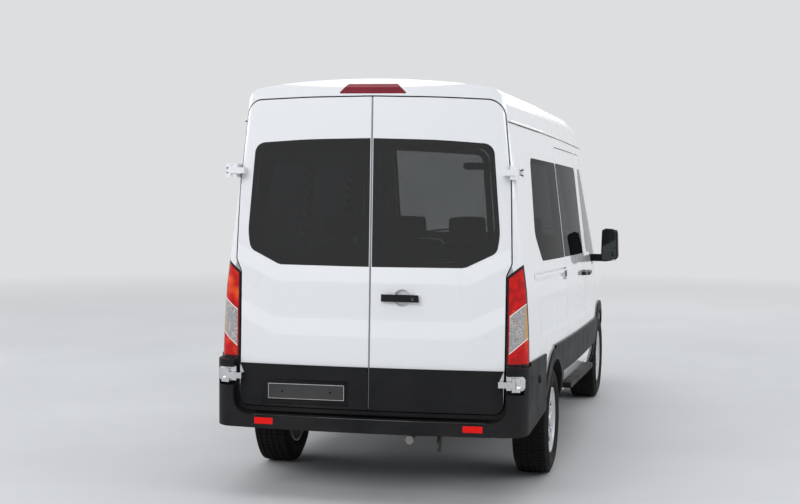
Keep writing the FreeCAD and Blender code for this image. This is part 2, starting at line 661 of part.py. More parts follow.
rear_form = prism(REAR_DOOR, "rear", X_TAIL - 100, X_TAIL + 500)
rear_low = rear_form.common(box((-FAR, 0, 0), (FAR, FAR, REAR_CLADDING_Z)))
left_rear_door = walls(0).common(rear_form).fuse(walls(-CLADDING_T).common(rear_low)).cut(door_zone)
left_rear_door, left_rear_pane = glazed(
    left_rear_door.removeSplitter(), REAR_WINDOW, "rear", X_TAIL - 100, X_TAIL + 500, REAR_OPENING)
rebate = tail_block(25.0).common(box((X_TAIL, 0, 0), (X_TAIL + 400, REAR_SPLIT / 2 + 6, FAR)))
left_rear_door = left_rear_door.cut(rebate).fuse([mirrored(leaf) for leaf in rear_leaves]).removeSplitter()
right_rear_door = mirrored(left_rear_door)
right_rear_pane = mirrored(left_rear_pane)
grip_x = tail_at(1242.0)
grip = fused([box((grip_x - 28, -305, 1220), (grip_x - 12, -75, 1264))] +
             [box((grip_x - 20, y, 1220), (grip_x + 14, y + 22, 1264)) for y in (-305.0, -97.0)])
cup = Part.makeCylinder(52.0, 40.0, V(grip_x - 14, -200, 1242), V(1, 0, 0))
right_rear_door = right_rear_door.cut(cup).fuse(grip).removeSplitter()
plate_plane = tail_at(650) + 12
plate_recess = prism([(120.0, 578.0, 12.0), (670.0, 578.0, 12.0), (670.0, 730.0, 12.0),
                      (120.0, 730.0, 12.0)], "rear", X_TAIL - 100, plate_plane)
plate_holes = [Part.makeCylinder(PLATE_HOLE_R, plate_plane + PLATE_HOLE_DEPTH - X_TAIL, V(X_TAIL, y, PLATE_Z), V(1, 0, 0))
               for y in (PLATE_Y - PLATE_SPACING / 2, PLATE_Y + PLATE_SPACING / 2)]
left_rear_door = left_rear_door.cut([plate_recess] + plate_holes)

# Cladding on the fixed sides, with the arch mouldings
ring = [cylinder_y(x, -FAR, 0, AXLE_Z, ARCH_R + ARCH_LIP) for x in (AXLE_F, AXLE_R)]
strip_zone = cladding_zone.common(box((AXLE_R, -FAR, 0), (AXLE_F, 0, FAR)))
over_sill = prism(slanted(-3000, 3000, SILL_Z, SILL_Z + 900), "side", -FAR, 0)
clad_zone = strip_zone.fuse(ring).common(over_sill).cut(arches)
clad_zone = clad_zone.cut([prism(FRONT_DOOR, "side", -FAR, 0, SHUT),
                           box((AXLE_F + ARCH_R - 60, -FAR, 0), (FAR, 0, BUMPER_TOP_Z + SEAT_GAP)),
                           bumper_full])
clad = walls(-CLADDING_T).common(clad_zone).cut(walls(0))
cladding_left = mirrored(clad)
cladding_right = clad.cut(prism(SLIDING_DOOR, "side", -FAR, 0, SHUT))

# Front skins
bonnet_plan = [(BONNET_REAR_X, -790.0, 40.0), (FAR, -480.0, 0.0), (FAR, 480.0, 0.0),
               (BONNET_REAR_X, 790.0, 40.0)]
bonnet = skin(prism(bonnet_plan, "plan", BONNET_LOW_Z, 1600), BONNET_T)
bonnet_hole = prism(bonnet_plan, "plan", BONNET_LOW_Z - SHUT, 1600, SHUT)
HEADLAMP = [(AXLE_F + 480.0, 985.0, 20.0), (AXLE_F + 620.0, 800.0, 40.0), (FAR, 760.0, 0.0),
            (FAR, BONNET_LOW_Z - SHUT, 0.0), (AXLE_F + 700.0, BONNET_LOW_Z - SHUT, 30.0)]
headlamp = skin(prism(HEADLAMP, "side", -FAR, -556.0), FRONT_SKIN_T)
headlamp_hole = prism(HEADLAMP, "side", -FAR, -556.0 + SHUT / 2, SHUT / 2)
bumper_zone = box((AXLE_F + ARCH_R, -FAR, 0), (FAR, FAR, BUMPER_TOP_Z))
front_bumper = skin(bumper_zone, FRONT_SKIN_T).cut(prism(BUMPER_SLOT, "rear", 2000, FAR))
grille_hole = prism(GRILLE, "rear", 2000, FAR, SHUT / 2)
grille_form = prism(GRILLE, "rear", 2000, FAR)
bars = fused([box((2000, -560, z), (FAR, 560, z + 22)) for z in (800.0, 860.0, 920.0, 980.0)])
grille_frame = grille_form.cut(prism(GRILLE, "rear", 2000, FAR, -26.0))
grille = skin(grille_frame, 20.0).fuse(skin(bars.common(grille_form), 16.0)).removeSplitter()
slot_bars = [box((2000, -540, z), (FAR, 540, z + 16)) for z in (430.0, 490.0, 550.0)]
slot_bars.append(box((2000, -30, 400), (FAR, 30, 610)))
slot_form = prism(BUMPER_SLOT, "rear", 2000, FAR, -SEAT_GAP)
lower_grille = skin(slot_form.common(fused(slot_bars)), 16.0)
wing_zone = box((DOOR_FRONT_X + SHUT, -FAR, 0), (FAR, 0, 1279)).cut(arches + [
    bonnet_hole, headlamp_hole, grille_hole,
    box((AXLE_F + ARCH_R - 1, -FAR, 0), (FAR, 0, BUMPER_TOP_Z + SHUT / 2)),
    box((AXLE_F - 300, -800, 1150), (BONNET_REAR_X + 1, 0, 1400)),
    prism(slanted(-3000, 3000, 0, SILL_Z), "side", -FAR, 0)])
wing = skin(wing_zone, WING_T)

rail_end = AXLE_F + 520.0

# Scuttle, firewall and front wheelhouses
bay = walls(WING_T + WALL + SEAT_GAP)
cowl = skin(box((1850, -800 + SEAT_GAP, 1200), (BONNET_REAR_X - SHUT, 800 - SEAT_GAP, 1285 - SEAT_GAP)), 80.0)
shelf = bay.common(box((FIREWALL_X, -FAR, 1262), (BONNET_REAR_X - 12, FAR, 1276)))
firewall = bay.common(prism([(FIREWALL_X, line_z(FLOOR_TOP, FIREWALL_X) - FLOOR_T, 0),
                             (FIREWALL_X + FIREWALL_T, line_z(FLOOR_TOP, FIREWALL_X) - FLOOR_T, 0),
                             (FIREWALL_X + FIREWALL_T, 1270, 0), (FIREWALL_X, 1270, 0)], "side", -FAR, FAR))


def wheelhouse(x, inner_y, depth, low_rear, low_front):
    """Liner over the right wheel: a ring closed by a plate on its inner side."""
    ring = cylinder_y(x, -FAR, -inner_y + LINER_T, AXLE_Z, house_r).cut(
        cylinder_y(x, -FAR, -inner_y, AXLE_Z, house_r - LINER_T))
    keep = [box((x - 500, -FAR, low_rear), (x, 0, 1000)), box((x - 1, -FAR, low_front), (x + 500, 0, 1000))]
    return walls(depth).common(ring.common(fused(keep)))


front_house = wheelhouse(AXLE_F, LINER_IN_FRONT, WING_T + SEAT_GAP, 420.0, 455.0)
strut_y = LINER_IN_FRONT + 130.0
strut = fused([Part.makeCylinder(r, AXLE_Z + house_r - 3 - z, V(AXLE_F, -strut_y, z))
               for r, z in ((30.0, 635.0), (55.0, 668.0))])
bulkhead = cowl.fuse([shelf, firewall]).removeSplitter()
front_houses = both(fused([front_house, strut]))

# Front panel, which carries the radiator, lamps, grille, bumper and the closed bonnet
panel_low = walls(FRONT_SKIN_T + SEAT_GAP).common(
    box((rail_end + SEAT_GAP, -FAR, 262), (rail_end + 20, FAR, BONNET_LOW_Z)))
panel_high = walls(BONNET_T + SEAT_GAP).common(
    box((rail_end + SEAT_GAP, -700, BONNET_LOW_Z - 10), (rail_end + 20, 700, 1300)))
front_panel = fused([panel_low, panel_high]).cut(
    prism([(-350, 470, 30), (350, 470, 30), (350, 900, 30), (-350, 900, 30)], "rear", 2000, FAR))
radiator = box((rail_end + SEAT_GAP, -360, 460), (rail_end + 60, 360, 910)).cut(
    box((rail_end - 1, -345, 475), (rail_end + 8, 345, 895)))
front_panel = fused([front_panel, radiator])

# Floor with its rear wheelhouses, and the two rails under it
floor_slab = prism(slanted(X_TAIL + 60, FIREWALL_X - SEAT_GAP, FLOOR_TOP - FLOOR_T, FLOOR_TOP), "side", -FAR, FAR)
rear_house = wheelhouse(AXLE_R, LINER_IN_REAR, WALL + SEAT_GAP, 500.0, 500.0)
house_void = cylinder_y(AXLE_R, -FAR, -LINER_IN_REAR, AXLE_Z, house_r - LINER_T)
floor = walls(WALL + SEAT_GAP).common(floor_slab).common(tail_block(WALL + REAR_GAP)).cut(both(house_void))
rail = prism(slanted(X_TAIL + 165, rail_end, FLOOR_TOP - FLOOR_T - RAIL_H, FLOOR_TOP - FLOOR_T - SEAT_GAP),
             "side", -RAIL_Y - RAIL_W / 2, -RAIL_Y + RAIL_W / 2)
TIES = [(-2450.0, 80.0), (-1000.0, 60.0), (650.0, 35.0)]
ties = [box((x - 40, -RAIL_Y, line_z(FLOOR_TOP, x) - FLOOR_T - depth),
            (x + 40, RAIL_Y, line_z(FLOOR_TOP, x + 40) - FLOOR_T - SEAT_GAP)) for x, depth in TIES]
tow_lug = prism([(X_TAIL + 45, 322, 30), (X_TAIL + 125, 322, 30), (X_TAIL + 200, 480, 0), (X_TAIL + 130, 480, 0)],
                "side", -RAIL_Y - 8, -RAIL_Y + 8).cut(
                    cylinder_y(X_TAIL + TOW_X, -FAR, 0, TOW_Z, TOW_R))
floor = fused([floor] + both(rear_house))
chassis = fused(both(rail) + ties + [tow_lug])

# Step below the sliding door
side_step = prism(slanted(-1085, 480, 552, 590, 8.0), "side", -1050, -900).cut(walls(-SEAT_GAP))


def mirror():
    """Right door mirror: an arm from the door's front corner and a head."""
    arm = prism([(1130, 1215, 12), (1225, 1205, 12), (1225, 1262, 12), (1130, 1275, 12)], "side", -1075, -955)
    side = prism([(1075, 1210, 30), (1150, 1216, 30), (1172, 1440, 40), (1085, 1502, 30)], "side", -1190, -1050)
    rear = prism([(-1190, 1232, 40), (-1050, 1208, 30), (-1056, 1500, 35), (-1180, 1492, 45)], "rear", 1000, 1300)
    head = side.common(rear)
    return arm.cut(walls(-SEAT_GAP)).fuse(head).removeSplitter()


# Cabin: dashboard, steering wheel and seats on the falling floor
cabin = walls(WALL + 20)
dashboard = cabin.common(prism([
    (1140, 880, 30), (FIREWALL_X - SEAT_GAP, 800, 0), (FIREWALL_X - SEAT_GAP, 1276 + SEAT_GAP, 0),
    (1760, 1276 + SEAT_GAP, 0), (1745, 1298, 0),
    (1330, 1316, 60), (1110, 1210, 50)], "side", -FAR, FAR))
WHEEL_AT = (1000.0, 420.0, 1115.0)
steering_wheel = fused([Part.makeTorus(187.0, 14.0), Part.makeCylinder(52.0, 40.0, V(0, 0, -34)),
                        Part.makeCylinder(26.0, 150.0, V(0, 0, -180))])
spokes = []
for angle in (90.0, 210.0, 330.0):
    spoke = box((0, -15, -16), (184, 15, -2))
    spoke.rotate(V(0, 0, 0), V(0, 0, 1), angle)
    spokes.append(spoke)
steering_wheel = steering_wheel.fuse(spokes).removeSplitter()
column_hole = Part.makeCylinder(26.0 + SEAT_GAP, 400.0, V(0, 0, -180 - SEAT_GAP))
for piece in (steering_wheel, column_hole):
    piece.rotate(V(0, 0, 0), V(0, 1, 0), -62.0)
    piece.translate(V(*WHEEL_AT))
dashboard = dashboard.cut(column_hole)

SEATS = [
    # node, x of the cushion's rear, y0, y1, places
    ("driver_seat", 430.0, 160.0, 700.0, 1),
    ("passenger_seat", 430.0, -760.0, 120.0, 2),
    ("bench_middle", -640.0, -470.0, 790.0, 3),
    ("bench_rear", -1640.0, -630.0, 630.0, 3),
]


def seat(x, y0, y1, places):
    """Cushion on a plinth, a leaning back and one headrest to each place."""
    base = line_z(FLOOR_TOP, x + 250) + SEAT_GAP
    rear, front = x + 60, x + 400
    plinth = prism([(rear, line_z(FLOOR_TOP, rear) + SEAT_GAP, 0), (front, line_z(FLOOR_TOP, front) + SEAT_GAP, 0),
                    (front, base + 300, 0), (rear, base + 300, 0)], "side", y0 + 60, y1 - 60)
    cushion = prism([(x, base + 290, 30), (x + 500, base + 300, 40), (x + 500, base + 420, 50),
                     (x + 100, base + 400, 0), (x, base + 400, 0)], "side", y0, y1)
    back = prism([(x + 20, base + 300, 20), (x + 130, base + 300, 20), (x - 15, base + 960, 40),
                  (x - 115, base + 960, 40)], "side", y0 + 15, y1 - 15)
    parts = [plinth, cushion, back]
    width = (y1 - y0) / places
    for i in range(places):
        y = y0 + (i + 0.5) * width
        parts.append(prism([(x - 115, base + 985, 25), (x - 30, base + 985, 25), (x - 60, base + 1150, 35),
                            (x - 130, base + 1150, 35)], "side", y - 125, y + 125))
        parts.append(box((x - 80, y - 40, base + 930), (x - 65, y + 40, base + 1000)))
    return fused(parts)


# Engine with its gearbox, front crossmember with arms, and the rear axle on leaf springs
engine = fused([box((1625, -280, 390), (2150, 280, 980)), box((1330, -170, 300), (1626, 170, 600)),
                box((1180, -90, 300), (1331, 90, 380))] +
               [prism(slanted(1700, 1780, FLOOR_TOP - FLOOR_T, FLOOR_TOP - FLOOR_T + 55),
                      "side", y - 85, y + 85) for y in (-360.0, 360.0)])
arm = prism([(AXLE_F - 90, -468, 0), (AXLE_F + 90, -468, 0), (AXLE_F + 30, -872, 28), (AXLE_F - 30, -872, 28)],
            "plan", 215, 240)
ball_pin = Part.makeCylinder(14.0, 30.0 + 6.7, V(AXLE_F, -KINGPIN_Y, 215))
under_rail = FLOOR_TOP - FLOOR_T - RAIL_H - SEAT_GAP
crossmember = prism(slanted(AXLE_F - 100, AXLE_F + 100, under_rail - 62, under_rail), "side", -470, 470)
front_subframe = fused([crossmember] + both(arm) + both(ball_pin))
SPRING_Y = 500.0
tube_end = TRACK_REAR / 2 - HUB_IN - SEAT_GAP
spring = prism([(AXLE_R - 660, 432, 0), (AXLE_R - 360, 404, 300), (AXLE_R + 360, 396, 300), (AXLE_R + 660, 405, 0),
                (AXLE_R + 660, 429, 0), (AXLE_R + 360, 424, 300), (AXLE_R - 360, 432, 300), (AXLE_R - 660, 456, 0)],
               "side", -SPRING_Y - 30, -SPRING_Y + 30)
hangers = [box((x - 28, -SPRING_Y - 30, z), (x + 28, -SPRING_Y + 30, line_z(FLOOR_TOP, x + 28) - FLOOR_T - SEAT_GAP))
           for x, z in ((AXLE_R - 640, 432.0), (AXLE_R + 640, 405.0))]
pad = box((AXLE_R - 60, -SPRING_Y - 34, 370), (AXLE_R + 60, -SPRING_Y + 34, 415))
rear_axle = fused([cylinder_y(AXLE_R, -tube_end, tube_end, AXLE_Z, 45.0),
                   Part.makeSphere(130.0, V(AXLE_R, 0, AXLE_Z))] + both(spring) +
                  [part for piece in hangers + [pad] for part in both(piece)])
propshaft = Part.makeCylinder(35.0, 1180.0 - SEAT_GAP - AXLE_R - 130.0, V(AXLE_R + 130.0, 0, AXLE_Z - 8),
                              V(1, 0, 0)).cut(Part.makeSphere(130.0 + SEAT_GAP, V(AXLE_R, 0, AXLE_Z)))


def pipe(points, r):
    """Round pipe through points, with rounded elbows."""
    parts = []
    for a, b in zip(points, points[1:]):
        run = V(*b) - V(*a)
        parts.append(Part.makeCylinder(r, run.Length, V(*a), run))
    parts += [Part.makeSphere(r, V(*p)) for p in points[1:-1]]
    return fused(parts)


tank = prism(slanted(-650, 150, 400, FLOOR_TOP - FLOOR_T - SEAT_GAP, 30), "side", 60.0, 380.0)
exhaust = fused([
    pipe([(1300, -235, 350), (0, -235, 330), (-900, -235, 330), (-1180, -235, 450), (-1950, -235, 450),
          (-2200, -235, 370), (-2600, -235, 370)], 26.0),
    Part.makeCylinder(80.0, 520.0, V(-820, -235, 330), V(1, 0, 0))] +
    [box((x - 10, -243, z), (x + 10, -227, line_z(FLOOR_TOP, x + 10) - FLOOR_T - SEAT_GAP))
     for x, z in ((-560.0, 400.0), (900.0, 345.0), (-2300.0, 375.0))])

# Steered knuckles
knuckle = fused([cylinder_y(AXLE_F, -TRACK_FRONT / 2 + HUB_IN + SEAT_GAP, -700, AXLE_Z, 60.0),
                 box((AXLE_F - 45, -722, 252), (AXLE_F + 45, -680, 620)),
                 box((AXLE_F - 30, -860, 252), (AXLE_F + 30, -700, 272)),
                 box((AXLE_F - 190, -716, 300), (AXLE_F, -690, 330))])

# Wheels: (radius, offset) sections, the offset counted towards the outer side
RIM = [(0, 86), (58, 86), (64, 74), (150, 84), (190, 92), (205, 103), (RIM_R, 103), (RIM_R, 96.5), (200.7, 90.2),
       (200.7, -90.2), (RIM_R, -96.5), (RIM_R, -103), (207, -103), (190, -88), (190, 60), (150, 62), (64, 54),
       (45, 50), (45, -HUB_IN), (0, -HUB_IN)]
TYRE = [(201, 88.5), (216, 95), (270, TYRE_W / 2), (336, 102), (TYRE_R, 80),
        (TYRE_R, -80), (336, -102), (270, -TYRE_W / 2), (216, -95), (201, -88.5)]
OPENINGS = 10


def rim_and_tyre(x, y, out):
    rim = turned(RIM, x, y, AXLE_Z, out)
    cuts = []
    for i in range(OPENINGS):
        slot = prism([(-13, 98, 8), (13, 98, 8), (24, 160, 10), (-24, 160, 10)], "side", -200, 200)
        slot.rotate(V(0, 0, 0), V(0, 1, 0), 360.0 * (i + 0.5) / OPENINGS)
        slot.translate(V(x, y + out * 110, AXLE_Z))
        cuts.append(slot)
    return rim.cut(cuts), turned(TYRE, x, y, AXLE_Z, out)


export("body_side_right", right_side)
export("body_side_left", left_side)
export("roof", roof)
export("fixed_glass", Part.makeCompound([screen_pane, quarter_right, quarter_left, middle_left, middle_right]))
export("sliding_door", sliding_door)
export("door_front_right", front_door)
export("door_front_left", mirrored(front_door))
export("glass_front_right", front_pane)
export("glass_front_left", mirrored(front_pane))
export("door_rear_left", left_rear_door)
export("door_rear_right", right_rear_door)
export("glass_rear_left", left_rear_pane)
export("glass_rear_right", right_rear_pane)
export("rear_bumper", rear_bumper)
export("side_cladding", Part.makeCompound(cladding_left.Solids + cladding_right.Solids))
export("wing_right", wing)
export("wing_left", mirrored(wing))
export("bonnet", bonnet)
export("front_bumper", front_bumper)
export("grille", Part.makeCompound(grille.Solids + lower_grille.Solids))
export("headlamps", Part.makeCompound(both(headlamp)))
export("rear_lamps", Part.makeCompound(both(skin(lamp_right, LAMP_DEPTH)) + [brake_lamp]))
export("front_panel", front_panel)
export("bulkhead", Part.makeCompound(bulkhead.Solids + front_houses[0].Solids + front_houses[1].Solids))
export("floor", floor)
export("chassis", chassis)
export("side_step", side_step)
export("mirror_right", mirror())
export("mirror_left", mirrored(mirror()))
export("dashboard", dashboard)
export("steering_wheel", steering_wheel)
for node, x, y0, y1, places in SEATS:
    export(node, seat(x, y0, y1, places))
export("engine", engine)
export("front_subframe", front_subframe)
export("rear_axle", Part.makeCompound([rear_axle, propshaft]))
export("underbody", Part.makeCompound([tank, exhaust]))
export("knuckle_right", knuckle)
export("knuckle_left", mirrored(knuckle))
for name, x, y in (("front_left", AXLE_F, TRACK_FRONT / 2), ("front_right", AXLE_F, -TRACK_FRONT / 2),
                   ("rear_left", AXLE_R, TRACK_REAR / 2), ("rear_right", AXLE_R, -TRACK_REAR / 2)):
    rim, tyre = rim_and_tyre(x, y, 1 if y > 0 else -1)
    export("rim_" + name, rim)
    export("tyre_" + name, tyre)
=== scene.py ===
# %% [markdown]
# # Minibus with double rear doors: the looks
#
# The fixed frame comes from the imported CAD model. Every piece made here is in metres and sits in
# the same frame: +X is forward, +Y is the left side, +Z is up, and the wheels stand on z = 0.

# %% Load the frame
import math

import bpy
from mathutils import Matrix, Vector


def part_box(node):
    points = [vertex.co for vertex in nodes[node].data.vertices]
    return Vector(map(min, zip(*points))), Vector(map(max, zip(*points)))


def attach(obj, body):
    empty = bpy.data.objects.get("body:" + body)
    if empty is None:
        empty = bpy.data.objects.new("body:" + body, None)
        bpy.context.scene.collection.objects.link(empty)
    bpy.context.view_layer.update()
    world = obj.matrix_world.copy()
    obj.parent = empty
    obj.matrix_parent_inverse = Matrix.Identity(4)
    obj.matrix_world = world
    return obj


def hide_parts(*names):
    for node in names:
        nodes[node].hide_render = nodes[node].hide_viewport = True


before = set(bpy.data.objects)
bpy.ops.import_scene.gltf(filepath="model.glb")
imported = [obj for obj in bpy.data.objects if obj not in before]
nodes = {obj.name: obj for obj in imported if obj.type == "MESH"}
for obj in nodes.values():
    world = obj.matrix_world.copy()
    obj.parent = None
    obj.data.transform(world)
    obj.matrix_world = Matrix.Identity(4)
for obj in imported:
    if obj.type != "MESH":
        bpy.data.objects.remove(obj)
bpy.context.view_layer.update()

# %% [markdown]
# The photograph was taken a little to the right of the bus, from eye height and with a long lens.
# The camera's place was solved from the corners of the doors, wheels and windows, so that pieces
# can be compared with the picture point by point. The sun is hidden, so the light is soft: a large
# pale sheet overhead, one behind the camera and a weak one at each side.

# %% Camera, floor and light
scene = bpy.context.scene
scene.view_settings.view_transform = "Standard"


def clear():
    """Leave edit mode and select nothing."""
    if bpy.context.object and bpy.context.object.mode != "OBJECT":
        bpy.ops.object.mode_set(mode="OBJECT")
    bpy.ops.object.select_all(action="DESELECT")


def only(obj):
    """Select one object and make it the active one."""
    clear()
    obj.select_set(True)
    bpy.context.view_layer.objects.active = obj
    return obj


CAMERA_AT = Vector((-11.9155, -2.21, 2.16))
YAW, PITCH, ROLL = math.radians(12.35), math.radians(-3.87), math.radians(0.29)
look = Vector((math.cos(PITCH) * math.cos(YAW), math.cos(PITCH) * math.sin(YAW), math.sin(PITCH)))
bpy.ops.object.camera_add(location=CAMERA_AT)
camera = bpy.context.object
camera.rotation_mode = "QUATERNION"
camera.rotation_quaternion = look.to_track_quat("-Z", "Y") @ Matrix.Rotation(ROLL, 4, "Z").to_quaternion()
FOCAL_PX, SENSOR_MM, WIDTH_PX = 1583, 36, 800
camera.data.lens = FOCAL_PX * SENSOR_MM / WIDTH_PX
camera.data.clip_end = 200
scene.camera = camera


def softbox(name, place, target, size, power):
    """Rectangular light that faces its target."""
    bpy.ops.object.light_add(type="AREA", location=place)
    light = bpy.context.object
    light.name = name
    light.data.shape = "RECTANGLE"
    light.data.size, light.data.size_y = size
    light.data.energy = power
    light.rotation_mode = "QUATERNION"
    light.rotation_quaternion = (Vector(target) - Vector(place)).to_track_quat("-Z", "Y")


softbox("sky_sheet", (-1.0, 0.0, 9.0), (0.0, 0.0, 0.0), (12.0, 8.0), 420)
softbox("rear_sheet", (-11.0, 3.0, 6.5), (-2.0, 0.0, 1.0), (7.0, 4.0), 420)
softbox("right_sheet", (-1.0, -10.0, 5.0), (0.0, 0.0, 1.0), (8.0, 4.0), 300)
softbox("left_sheet", (1.0, 10.0, 5.0), (0.0, 0.0, 1.0), (8.0, 4.0), 260)
softbox("front_sheet", (11.0, -1.0, 5.5), (2.0, 0.0, 1.0), (7.0, 4.0), 260)


def add(tree, kind, **settings):
    """New shader node with its settings."""
    node = tree.nodes.new(kind)
    for key, value in settings.items():
        setattr(node, key, value)
    return node


def wire(out, into):
    """Link two sockets of one shader tree."""
    into.id_data.links.new(out, into)


PALE = (.72, .73, .745, 1)
SKY_LIGHT = (.52, .545, .58, 1)
world = bpy.data.worlds.new("pale_world")
scene.world = world
world.use_nodes = True
sky = world.node_tree
path = add(sky, "ShaderNodeLightPath")
either = add(sky, "ShaderNodeMath", operation="MAXIMUM")
shown = add(sky, "ShaderNodeMath", operation="ADD", use_clamp=True)
wire(path.outputs["Is Camera Ray"], shown.inputs[0])
wire(path.outputs["Is Transmission Ray"], either.inputs[0])
wire(path.outputs["Is Glossy Ray"], either.inputs[1])
wire(either.outputs[0], shown.inputs[1])
tone = add(sky, "ShaderNodeMix", data_type="RGBA")
tone.inputs[6].default_value = SKY_LIGHT
tone.inputs[7].default_value = PALE
wire(shown.outputs[0], tone.inputs[0])
wire(tone.outputs[2], sky.nodes["Background"].inputs["Color"])
sky.nodes["Background"].inputs["Strength"].default_value = 1.0

bpy.ops.mesh.primitive_plane_add(size=120, location=(0, 0, 0))
floor = bpy.context.object
floor.name = "stage_floor"

# %% [markdown]
# Finishes. Real surfaces are never one flat colour, so each material mixes two close tones with
# noise, varies its roughness and gets a fine relief. Three shader groups do that work once and are
# shared: mottle for tone and roughness, relief for the grain of paint, plastic and rubber, and
# road dust, which settles on everything near the ground. All read object coordinates, so a grain
# keeps its real size on large and small pieces.

# %% Shader groups
WHITE = (1, 1, 1, 1)
KINDS = {float: "NodeSocketFloat", tuple: "NodeSocketColor"}


def group(name, inputs, outputs):
    """Empty shader group that reads a vector; gives its tree, inner inputs and inner outputs."""
    tree = bpy.data.node_groups.new(name, "ShaderNodeTree")
    tree.interface.new_socket("Vector", in_out="INPUT", socket_type="NodeSocketVector")
    for label, value in inputs.items():
        socket = tree.interface.new_socket(label, in_out="INPUT", socket_type=KINDS[type(value)])
        socket.default_value = value
    for label in outputs:
        kind = tuple if label == "Color" else float
        tree.interface.new_socket(label, in_out="OUTPUT", socket_type=KINDS[kind])
    return tree, tree.nodes.new("NodeGroupInput").outputs, tree.nodes.new("NodeGroupOutput").inputs


def plug(value, into):
    """Give a socket a constant, or link another socket to it."""
    if isinstance(value, bpy.types.NodeSocket):
        wire(value, into)
    else:
        into.default_value = value


def noise(vector, scale, detail=3.0):
    """Noise over a vector."""
    node = add(vector.id_data, "ShaderNodeTexNoise")
    for label, value in (("Detail", detail), ("Vector", vector), ("Scale", scale)):
        plug(value, node.inputs[label])
    return node.outputs["Fac"]


def ranged(value, low, high, to_low=0.0, to_high=1.0):
    """Map a value's range to another one; ends may be numbers or sockets."""
    node = add(value.id_data, "ShaderNodeMapRange")
    for index, end in enumerate((value, low, high, to_low, to_high)):
        plug(end, node.inputs[index])
    return node.outputs["Result"]


def mixed(factor, a, b):
    """Colour between two colours."""
    node = add(factor.id_data, "ShaderNodeMix", data_type="RGBA")
    for index, end in ((0, factor), (6, a), (7, b)):
        plug(end, node.inputs[index])
    return node.outputs[2]


def maths(operation, a, b=0.0):
    """Sum, product and so on of two values, of which one at least is a socket."""
    tree = (a if isinstance(a, bpy.types.NodeSocket) else b).id_data
    node = add(tree, "ShaderNodeMath", operation=operation)
    plug(a, node.inputs[0])
    plug(b, node.inputs[1])
    return node.outputs[0]


def plus(a, b):
    """Sum of two values."""
    return maths("ADD", a, b)


def minus(a, b):
    """Difference of two values."""
    return maths("SUBTRACT", a, b)


def times(a, b):
    """Product of two values."""
    return maths("MULTIPLY", a, b)


def axes(vector):
    """X, Y and Z of a vector."""
    split = add(vector.id_data, "ShaderNodeSeparateXYZ")
    wire(vector, split.inputs[0])
    return split.outputs


mottle, given, result = group("mottle", {"Tone A": WHITE, "Tone B": WHITE, "Scale": 6.0, "Rough Low": .3,
                                         "Rough High": .5}, ("Color", "Roughness"))
patches = noise(given["Vector"], given["Scale"], 5.0)
spread = ranged(patches, .35, .65)
wire(mixed(spread, given["Tone A"], given["Tone B"]), result["Color"])
wire(ranged(patches, .3, .7, given["Rough Low"], given["Rough High"]), result["Roughness"])

relief, given, result = group("relief", {"Scale": 900.0, "Depth": 1.0}, ("Height",))
fine = noise(given["Vector"], given["Scale"], 2.0)
wire(times(fine, given["Depth"]), result["Height"])

DUST_TONE = (.30, .275, .24, 1)
dust, given, result = group("road_dust", {"Color": WHITE, "Roughness": .4, "Amount": .4, "Reach": .9},
                            ("Color", "Roughness"))
height = ranged(axes(given["Vector"])["Z"], given["Reach"], .1)
cloud = noise(given["Vector"], 3.5, 6.0)
veil = times(times(height, ranged(cloud, .3, .75)), given["Amount"])
wire(mixed(veil, given["Color"], DUST_TONE), result["Color"])
wire(plus(given["Roughness"], times(veil, .35)), result["Roughness"])

weave, given, result = group("weave", {"Thread": 900.0, "Tone A": WHITE, "Tone B": WHITE},
                             ("Color", "Height"))
px, py, pz = axes(given["Vector"])
across = maths("SINE", times(py, given["Thread"]))
along = maths("SINE", times(plus(px, pz), given["Thread"]))
knit = ranged(times(across, along), -1.0, 1.0)
worn = noise(given["Vector"], 14.0, 4.0)
shade = plus(times(knit, .6), times(worn, .4))
wire(mixed(shade, given["Tone A"], given["Tone B"]), result["Color"])
wire(knit, result["Height"])
print("shader groups:", [g.name for g in bpy.data.node_groups])

# %% [markdown]
# The table of finishes: two tones, how large the patches are, the roughness between smooth and
# dull places, how much road dust reaches them, and the grain's fineness and depth in millimetres.
# Constants such as coat, metal and transmission are set on the shader itself.

